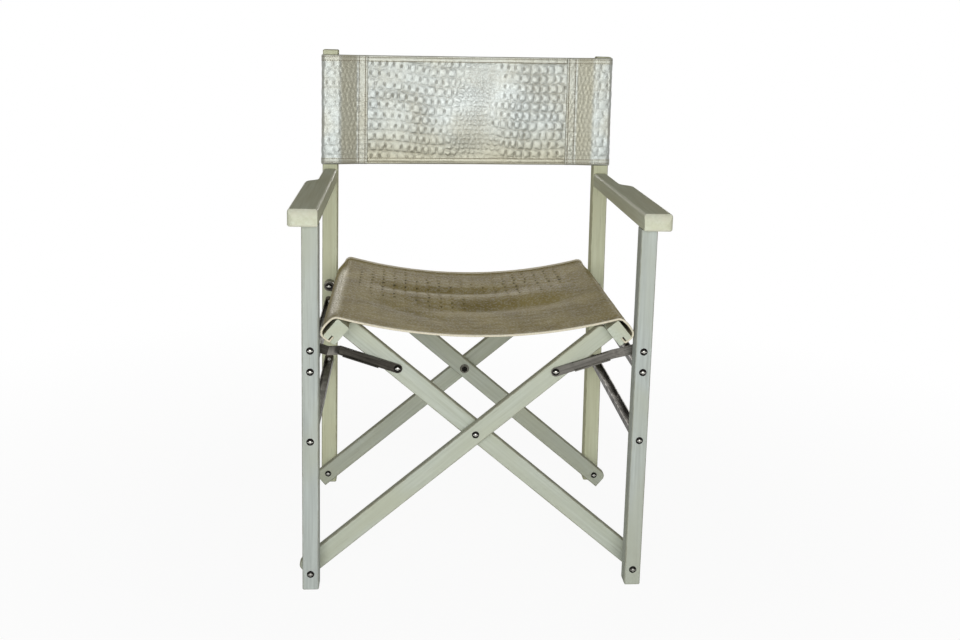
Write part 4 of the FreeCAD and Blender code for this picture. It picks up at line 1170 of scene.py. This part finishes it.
@dataclass
class SeatSling:
    """The seat: one hide that hangs between the rails, laid round them into their grooves."""

    face: LeatherFinish
    suede: EdgeFinish
    cut: EdgeFinish
    front_y: float = -0.240755
    depth: float = 0.462
    leather: float = 0.0022
    roll: float = 0.0012
    roll_zone: Pair = (0.0032, 0.0062)
    lip_wide: float = 0.0018
    lip_deep: float = 0.0007
    rear_bead: float = 0.002
    bead_zone: Pair = (0.001, 0.0062)
    bead_ends: float = 0.05
    cut_front: float = 0.0034
    cut_rear: float = 0.0058
    cushion_high: float = 0.0006
    mark_deep: float = 0.0009
    strip_x: float = -0.2296
    strip_wide: float = 0.0068
    strip_highlight: float = 1.6
    strip_up: Pair = (0.425, 0.435)
    dotted_patches: tuple[tuple[Pair, Pair], ...] = (
        ((-0.112, 0.36), (0.11, 0.3)),
        ((0.1, 0.26), (0.09, 0.22)),
    )
    side: float = 0.302883
    side_top: float = 0.0111
    under: float = 0.026
    tongue: float = 0.282783
    tongue_top: float = 0.0146
    top_bend: float = 0.0092
    low_bend: float = 0.0084
    groove_bend: float = 0.0023
    full: float = 0.003
    full_zone: Pair = (-0.012, -0.002)
    slope: float = math.radians(14.6)
    reach: float = 0.219259
    reach_up: float = 0.44857
    step: float = 0.0026
    soft_folds: tuple[Fold, ...] = (
        Fold(0.0056, 0.33, 0.18, 0.055, 0.15, 0.02),
        Fold(0.0052, 0.62, 0.22, 0.06, -0.16, 0.02),
        Fold(0.0026, 0.86, -1.2, 0.05, -0.02, -0.08),
        Fold(-0.003, 0.47, 0.2, 0.075, -0.4, -0.3),
    )

    def __post_init__(self) -> None:
        """Lay out the outline and the emboss."""
        self.path = self.outline()
        self.scales = ScalePattern(
            width=self.path.length,
            height=self.depth,
            seed=5,
            pitch=0.0205,
            row=0.022,
            uneven=0.9,
            columns=True,
            mark_wide=0.0026,
            mark_long=0.0066,
            curl=0.0,
        )

    def outline(self) -> StripPath:
        """The seat's outline seen from the front, from one groove over the seat to the other.

        Returns:
            The path in the plane across and up.
        """
        half = [
            (self.tongue, -self.tongue_top, 0.0),
            (self.tongue, -self.under, self.groove_bend),
            (self.side, -self.under, self.low_bend),
            (self.side, self.side_top, self.top_bend),
        ]
        left, right = [], []
        for along, over, bend in half:
            across = along * BAR_COS - over * BAR_SIN
            up = CROSSING + along * BAR_SIN + over * BAR_COS
            left.append(Corner(-across, up, bend))
            right.insert(0, Corner(across, up, bend))
        lowest = self.reach_up - self.reach * math.tan(self.slope)
        middle = Corner(0.0, lowest, self.reach / math.sin(self.slope) - 1e-6)
        return StripPath([*left, middle, *right])

    def fullness(self, across: float, up: float) -> float:
        """How far the leather stands off a rail's outer side at a place of the outline.

        Args:
            across: From the middle of the chair.
            up: Height over the floor.

        Returns:
            Metres outward.
        """
        along = abs(across) * BAR_COS + (up - CROSSING) * BAR_SIN
        over = (up - CROSSING) * BAR_COS - abs(across) * BAR_SIN
        share = min(1.0, max(0.0, (over + self.under) / (self.side_top + self.under)))
        outer = smooth(*self.full_zone, along - self.side)
        return self.full * 4.0 * share * (1.0 - share) * outer

    def folds(self, across: float, t: float) -> float:
        """How deep the soft folds of the hide lie at a place.

        Args:
            across: From the middle of the chair.
            t: 0 at the rear edge to 1 at the front edge.

        Returns:
            Metres below the plain seat.
        """
        hold = 1.0 - smooth(0.13, 0.2, abs(across))
        wander = 0.02 * noise.noise((across * 9.0, t * 3.0, 1.3))
        ripple = 0.0007 * noise.noise((across * 12.0, t * 9.0, 4.2))
        return hold * (sum(fold.at(across, t + wander) for fold in self.soft_folds) + ripple)

    def dotted(self, across: float, t: float) -> float:
        """How strongly the marks between the scales show, with t as in folds, 0 to 1."""
        ragged = 0.45 * noise.noise((across * 14.0, t * 6.0, 2.2))
        return smooth(0.25, 0.7, max(blot(across, t, *p) for p in self.dotted_patches) + ragged)

    def wear_and_light(self, spot: Vector, v: float) -> float:
        """How much a place lies in the painted highlight strip along the bend over the left rail.

        Args:
            spot: The place across and up.
            v: From the front edge.

        Returns:
            A share from 0 to 1.
        """
        off = (spot.x - self.strip_x) / self.strip_wide
        strip = min(1.0, self.strip_highlight * math.exp(-(off**2)))
        ends = smooth(0.0, 0.06, v) * smooth(0.05, 0.13, self.depth - v)
        return strip * smooth(*self.strip_up, spot.y) * ends

    def sheet_point(self, u: float, v: float) -> SheetPoint:
        """A point of the seat with its emboss, folds, rolled edges and wear.

        Args:
            u: Along the outline, from its middle.
            v: From the front edge.

        Returns:
            The point.
        """
        half = self.path.length / 2
        spot, left = self.path.at(u + half)
        emboss = self.scales.read(u, v)
        rear = self.depth - v
        t = 1.0 - v / self.depth
        patch = self.dotted(spot.x, t)
        roll = 1.0 - smooth(*self.roll_zone, min(v, rear))
        lip = 1.0 - smooth(0.0, self.lip_wide, min(v, rear))
        flat = 1.0 - roll
        bead = self.rear_bead * (1.0 - smooth(*self.bead_zone, rear))
        bead *= smooth(0.0, 0.01, half - abs(u) - self.bead_ends)
        scale = self.cushion_high * (emboss.cushion - 0.5) - self.mark_deep * emboss.mark * patch
        lift = flat * scale + self.roll * roll - self.lip_deep * lip + bead
        lift -= self.folds(spot.x, t) * flat
        lift += self.fullness(spot.x, spot.y) * smooth(0.02, 0.06, rear)
        spot = spot + left * lift
        dark = flat * max(0.35 * emboss.groove, emboss.mark * (0.12 + 0.88 * patch))
        # Painted highlight along the left rail's bend, and slightly paler raised scale tops.
        handling_and_light = 0.08 * (patch + 0.4) * smooth(0.3, 0.9, emboss.cushion)
        highlight_and_wear = flat * max(self.wear_and_light(spot, v), handling_and_light)
        place = Vector((spot.x, self.front_y + v, spot.y))
        return SheetPoint(place, dark, roll * (1.0 - 0.5 * lip), highlight_and_wear)

    def build(self) -> Piece:
        """Build the seat that hangs between the two crossed frames.

        Returns:
            The seat.
        """
        bm = sheet_grid(self.path.length, self.depth, self.step, self.sheet_point)
        materials = [f.material() for f in (self.face, self.suede, self.cut)]
        made = new_object("seat_leather", bm, materials)
        for face in made.data.polygons:
            behind = face.center.y - self.front_y
            if behind < self.cut_front or self.depth - behind < self.cut_rear:
                face.material_index = 2
        thick = self.leather + self.roll
        thicken(made, thick, self.leather / thick)
        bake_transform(made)
        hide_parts("seat_wrap_left", "seat_panel", "seat_wrap_right")
        return made


@dataclass
class HardPieces:
    """Pieces that are shown as the model's own nodes."""

    nodes: dict[str, Piece]

    def dress(self, names: Iterable[str], material: Material) -> None:
        """Give nodes a material.

        Args:
            names: Which ones.
            material: Their material.
        """
        for name in names:
            piece = self.nodes[name]
            if not piece.material_slots:
                piece.data.materials.append(material)
            for slot in piece.material_slots:
                slot.material = material
            log.info("%s: %s", name, material.name)


@dataclass
class WoodFrame(HardPieces):
    """The painted sticks of the chair."""

    brown: Colour = srgb(118, 108, 78)

    def build(self) -> None:
        """Paint the legs, posts, arms, bars and rails."""
        leg = (srgb(191, 197, 192), srgb(168, 173, 168), srgb(182, 185, 168), srgb(134, 130, 106))
        post = (srgb(220, 223, 196), srgb(200, 201, 170), srgb(211, 211, 179), self.brown)
        # The arms' last colour, for their edges, is pale: a painted highlight along the rounded
        # edges.
        arm = (srgb(217, 220, 200), srgb(199, 200, 175), srgb(209, 208, 182), srgb(226, 223, 204))
        bar = (srgb(198, 203, 191), srgb(178, 183, 168), srgb(189, 192, 171), self.brown)
        rail = (srgb(200, 207, 193), srgb(181, 187, 168), srgb(190, 192, 170), self.brown)
        paired = {
            "front_leg": PaintFinish("leg_paint", *leg, Grain.UPRIGHT),
            "rear_post": PaintFinish("post_paint", *post, Grain.LEANING),
            "armrest": PaintFinish("arm_paint", *arm, Grain.DEPTH, wavy=True, polish=0.7),
            "seat_rail": PaintFinish("rail_paint", *rail, Grain.DEPTH),
        }
        for stick, finish in paired.items():
            self.dress(both_sides(stick), finish.material())
        for frame, grain in (("outer", Grain.RISING), ("inner", Grain.FALLING)):
            # The bars' tops get painted shade mixed with grime.
            finish = PaintFinish(f"{frame}_bar_paint", *bar, grain, shaded_and_soiled=0.3)
            self.dress((f"{frame}_bar_front", f"{frame}_bar_rear"), finish.material())


@dataclass
class MetalWork(HardPieces):
    """The stretchers, links, bolts and small steel pieces."""

    rubbed_and_lit: Colour = srgb(132, 126, 112)
    black: Colour = srgb(30, 29, 27)
    # Colour of the painted highlight on the bolts' domes.
    dome_highlight: Colour = srgb(196, 194, 186)
    crossing_unlit_from: float = -0.1

    def build(self) -> None:
        """Give the steel its finishes."""
        sheet = (srgb(46, 42, 34), srgb(76, 71, 60), self.rubbed_and_lit)
        finish = SteelFinish("stretcher_steel", *sheet, Grain.DEPTH)
        self.dress(both_sides("upper_stretcher", "lower_stretcher"), finish.material())
        # The right links are painted paler than the left ones: a lit copy and a shaded copy of the
        # same steel.
        links = (
            ("left", Grain.LINK_LEFT, srgb(42, 40, 36), srgb(72, 69, 63)),
            ("right", Grain.LINK_RIGHT, srgb(80, 78, 73), srgb(118, 115, 109)),
        )
        for word, grain, deep, pale in links:
            finish = SteelFinish(f"link_steel_{word}", deep, pale, srgb(168, 164, 156), grain, 0.36)
            self.dress((f"link_front_{word}", f"link_rear_{word}"), finish.material())
        bolts = both_sides("stretcher_bolts", "foot_pivot_bolts", "link_bolts")
        bolts += both_sides("link_rivet_front", "link_rivet_rear")
        self.dress(bolts, BoltFinish("bolt_steel", self.black, self.dome_highlight).material())
        # The crossing bolts get the painted highlight only near the front.
        bolt = BoltFinish("crossing_steel", self.black, self.dome_highlight, self.crossing_unlit_from)
        self.dress(["crossing_bolts"], bolt.material())
        plain = (srgb(84, 82, 74), srgb(120, 118, 108), self.rubbed_and_lit)
        small = ["crossing_washers", "link_spacer_left", *both_sides("foot_spacers")]
        self.dress(small, SteelFinish("washer_steel", *plain, Grain.UPRIGHT).material())


@dataclass(frozen=True)
class Lamp:
    """A soft lamp: where it hangs, its width and height, its watts and its light."""

    name: str
    place: Triple
    size: Pair
    power: float
    colour: Colour
    aim: Triple = (0.0, 0.0, 0.5)

    def build(self) -> None:
        """Hang the lamp."""
        data = bpy.data.lights.new(self.name, "AREA")
        data.shape = "RECTANGLE"
        data.size, data.size_y = self.size
        data.energy = self.power
        data.color = self.colour
        made = bpy.data.objects.new(self.name, data)
        made.location = self.place
        ahead = Vector(self.aim) - Vector(self.place)
        made.rotation_euler = ahead.to_track_quat("-Z", "Y").to_euler()
        bpy.context.scene.collection.objects.link(made)


@dataclass
class Studio:
    """Pale floor, soft light and the camera."""

    place: Triple = (-0.1192, -1.99208, 0.9017)
    turn: float = math.radians(-5.5)
    tilt: float = math.radians(10.4)
    roll: float = math.radians(1.7)
    focal: float = 1153.4
    middle: Pair = (513.4, 237.3)
    picture: tuple[int, int] = (960, 640)
    sensor: float = 36.0
    ambient: float = 0.2
    ambient_colour: Colour = (1.0, 0.97, 0.9)
    paper: Colour = (0.88, 0.88, 0.87)
    white_share: float = 0.93
    white_zone: Pair = (0.5, 1.6)
    floor_half: float = 6.0
    lamps: tuple[Lamp, ...] = (
        Lamp("key", (-0.12, -2.5, 0.9), (2.2, 1.2), 43.0, (0.96, 0.985, 1.0)),
        Lamp("rear_fill", (0.3, 2.8, 0.9), (1.8, 1.4), 26.0, (1.0, 0.98, 0.94)),
    )

    def camera(self) -> None:
        """Make the camera and aim it as the picture was taken."""
        data = bpy.data.cameras.new("view")
        width, height = self.picture
        data.sensor_width = self.sensor
        data.lens = self.focal / width * data.sensor_width
        data.shift_x = (width / 2 - self.middle[0]) / width
        data.shift_y = (self.middle[1] - height / 2) / width
        made = bpy.data.objects.new("view", data)
        bpy.context.scene.collection.objects.link(made)
        right = Vector((math.cos(self.turn), math.sin(self.turn), 0.0))
        level = Vector((-right.y, right.x, 0.0)) * math.cos(self.tilt)
        ahead = level - Vector((0.0, 0.0, math.sin(self.tilt)))
        up = right.cross(ahead)
        rolled = right * math.cos(self.roll) + up * math.sin(self.roll)
        upright = up * math.cos(self.roll) - right * math.sin(self.roll)
        turned = Matrix((rolled, upright, -ahead)).transposed().to_4x4()
        turned.translation = Vector(self.place)
        made.matrix_world = turned
        bpy.context.scene.camera = made

    def world(self) -> None:
        """White behind the chair, with a weak warm light from all round."""
        made = bpy.data.worlds.new("studio")
        bpy.context.scene.world = made
        graph = NodeGraph(made)
        white = graph.node("Background", {"Color": (1.0, 1.0, 1.0)})
        soft = graph.node("Background", {"Color": self.ambient_colour, "Strength": self.ambient})
        graph.node("OutputWorld", {"Surface": graph.mix(graph.seen(), soft, white)})

    def floor(self) -> None:
        """A plain pale floor that keeps a faint shadow."""
        bm = bmesh.new()
        bmesh.ops.create_grid(bm, x_segments=1, y_segments=1, size=self.floor_half)
        made = new_object("floor", bm, [self.floor_material()])

    def floor_material(self) -> Material:
        """White paper that shows almost white near the chair and white away from it.

        Returns:
            The material.
        """
        made = bpy.data.materials.new("floor_paper")
        graph = NodeGraph(made)
        paper = graph.node("BsdfDiffuse", {"Color": self.paper})
        white = graph.node("Emission", {})
        spot = graph.coordinates("Object")
        away = graph.node("VectorMath", {0: spot}, operation="LENGTH").outputs["Value"]
        fade = graph.between(away, *self.white_zone, self.white_share, 1.0)
        shown = graph.sum("MULTIPLY", graph.seen(), fade)
        graph.node("OutputMaterial", {"Surface": graph.mix(shown, paper, white)})
        return made

    def build(self) -> None:
        """Set up the whole studio."""
        bpy.context.scene.view_settings.view_transform = "Standard"
        self.camera()
        self.world()
        self.floor()
        for lamp in self.lamps:
            lamp.build()


def main() -> None:
    """Build the chair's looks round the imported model."""
    logging.basicConfig(level=logging.INFO, format="%(name)s: %(message)s")
    for thing in list(bpy.data.objects):
        bpy.data.objects.remove(thing)
    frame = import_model()
    Studio().build()
    WoodFrame(frame["nodes"]).build()
    MetalWork(frame["nodes"]).build()
    back = BackSling(
        front=LeatherFinish(
            "back_leather",
            face=srgb(157, 161, 157),
            tint=srgb(152, 152, 142),
            groove=srgb(88, 78, 48),
            # Pale colour of the painted highlight, then the colour of the painted shade, recess
            # reflection and darker hems.
            rubbed_and_lit=srgb(222, 227, 226),
            shaded_and_soiled=srgb(146, 142, 122),
            roughness=0.31,
            metallic=0.52,
        ),
        suede=EdgeFinish("leather_back", srgb(176, 166, 140), srgb(146, 134, 106)),
        cut=EdgeFinish("back_edge", srgb(196, 190, 168), srgb(160, 150, 124), 500.0),
        thread=ThreadFinish("back_thread", srgb(116, 92, 70), srgb(78, 60, 46)),
    )
    back.build()
    seat = SeatSling(
        face=LeatherFinish(
            "seat_leather",
            # Darker and browner than the back, though the same leather: painted shade for the
            # seat's up-facing surface.
            face=srgb(158, 142, 86),
            tint=srgb(131, 116, 62),
            groove=srgb(48, 39, 22),
            # Near-white colour of the painted highlight strip over the left rail.
            rubbed_and_lit=srgb(248, 244, 232),
            shaded_and_soiled=srgb(153, 148, 126),
            roughness=0.5,
            highlight_metallic=0.75,
            shine=0.03,
            dark_share=0.95,
            specks=0.2,
        ),
        suede=EdgeFinish("seat_back", srgb(206, 196, 168), srgb(176, 164, 134)),
        cut=EdgeFinish("seat_edge", srgb(232, 224, 202), srgb(206, 196, 170), 500.0, 0.5),
    ).build()
    for piece in (*back.pieces, seat):
        log.info("%s: %d points", piece.name, len(piece.data.vertices))


if __name__ == "__main__":
    main()
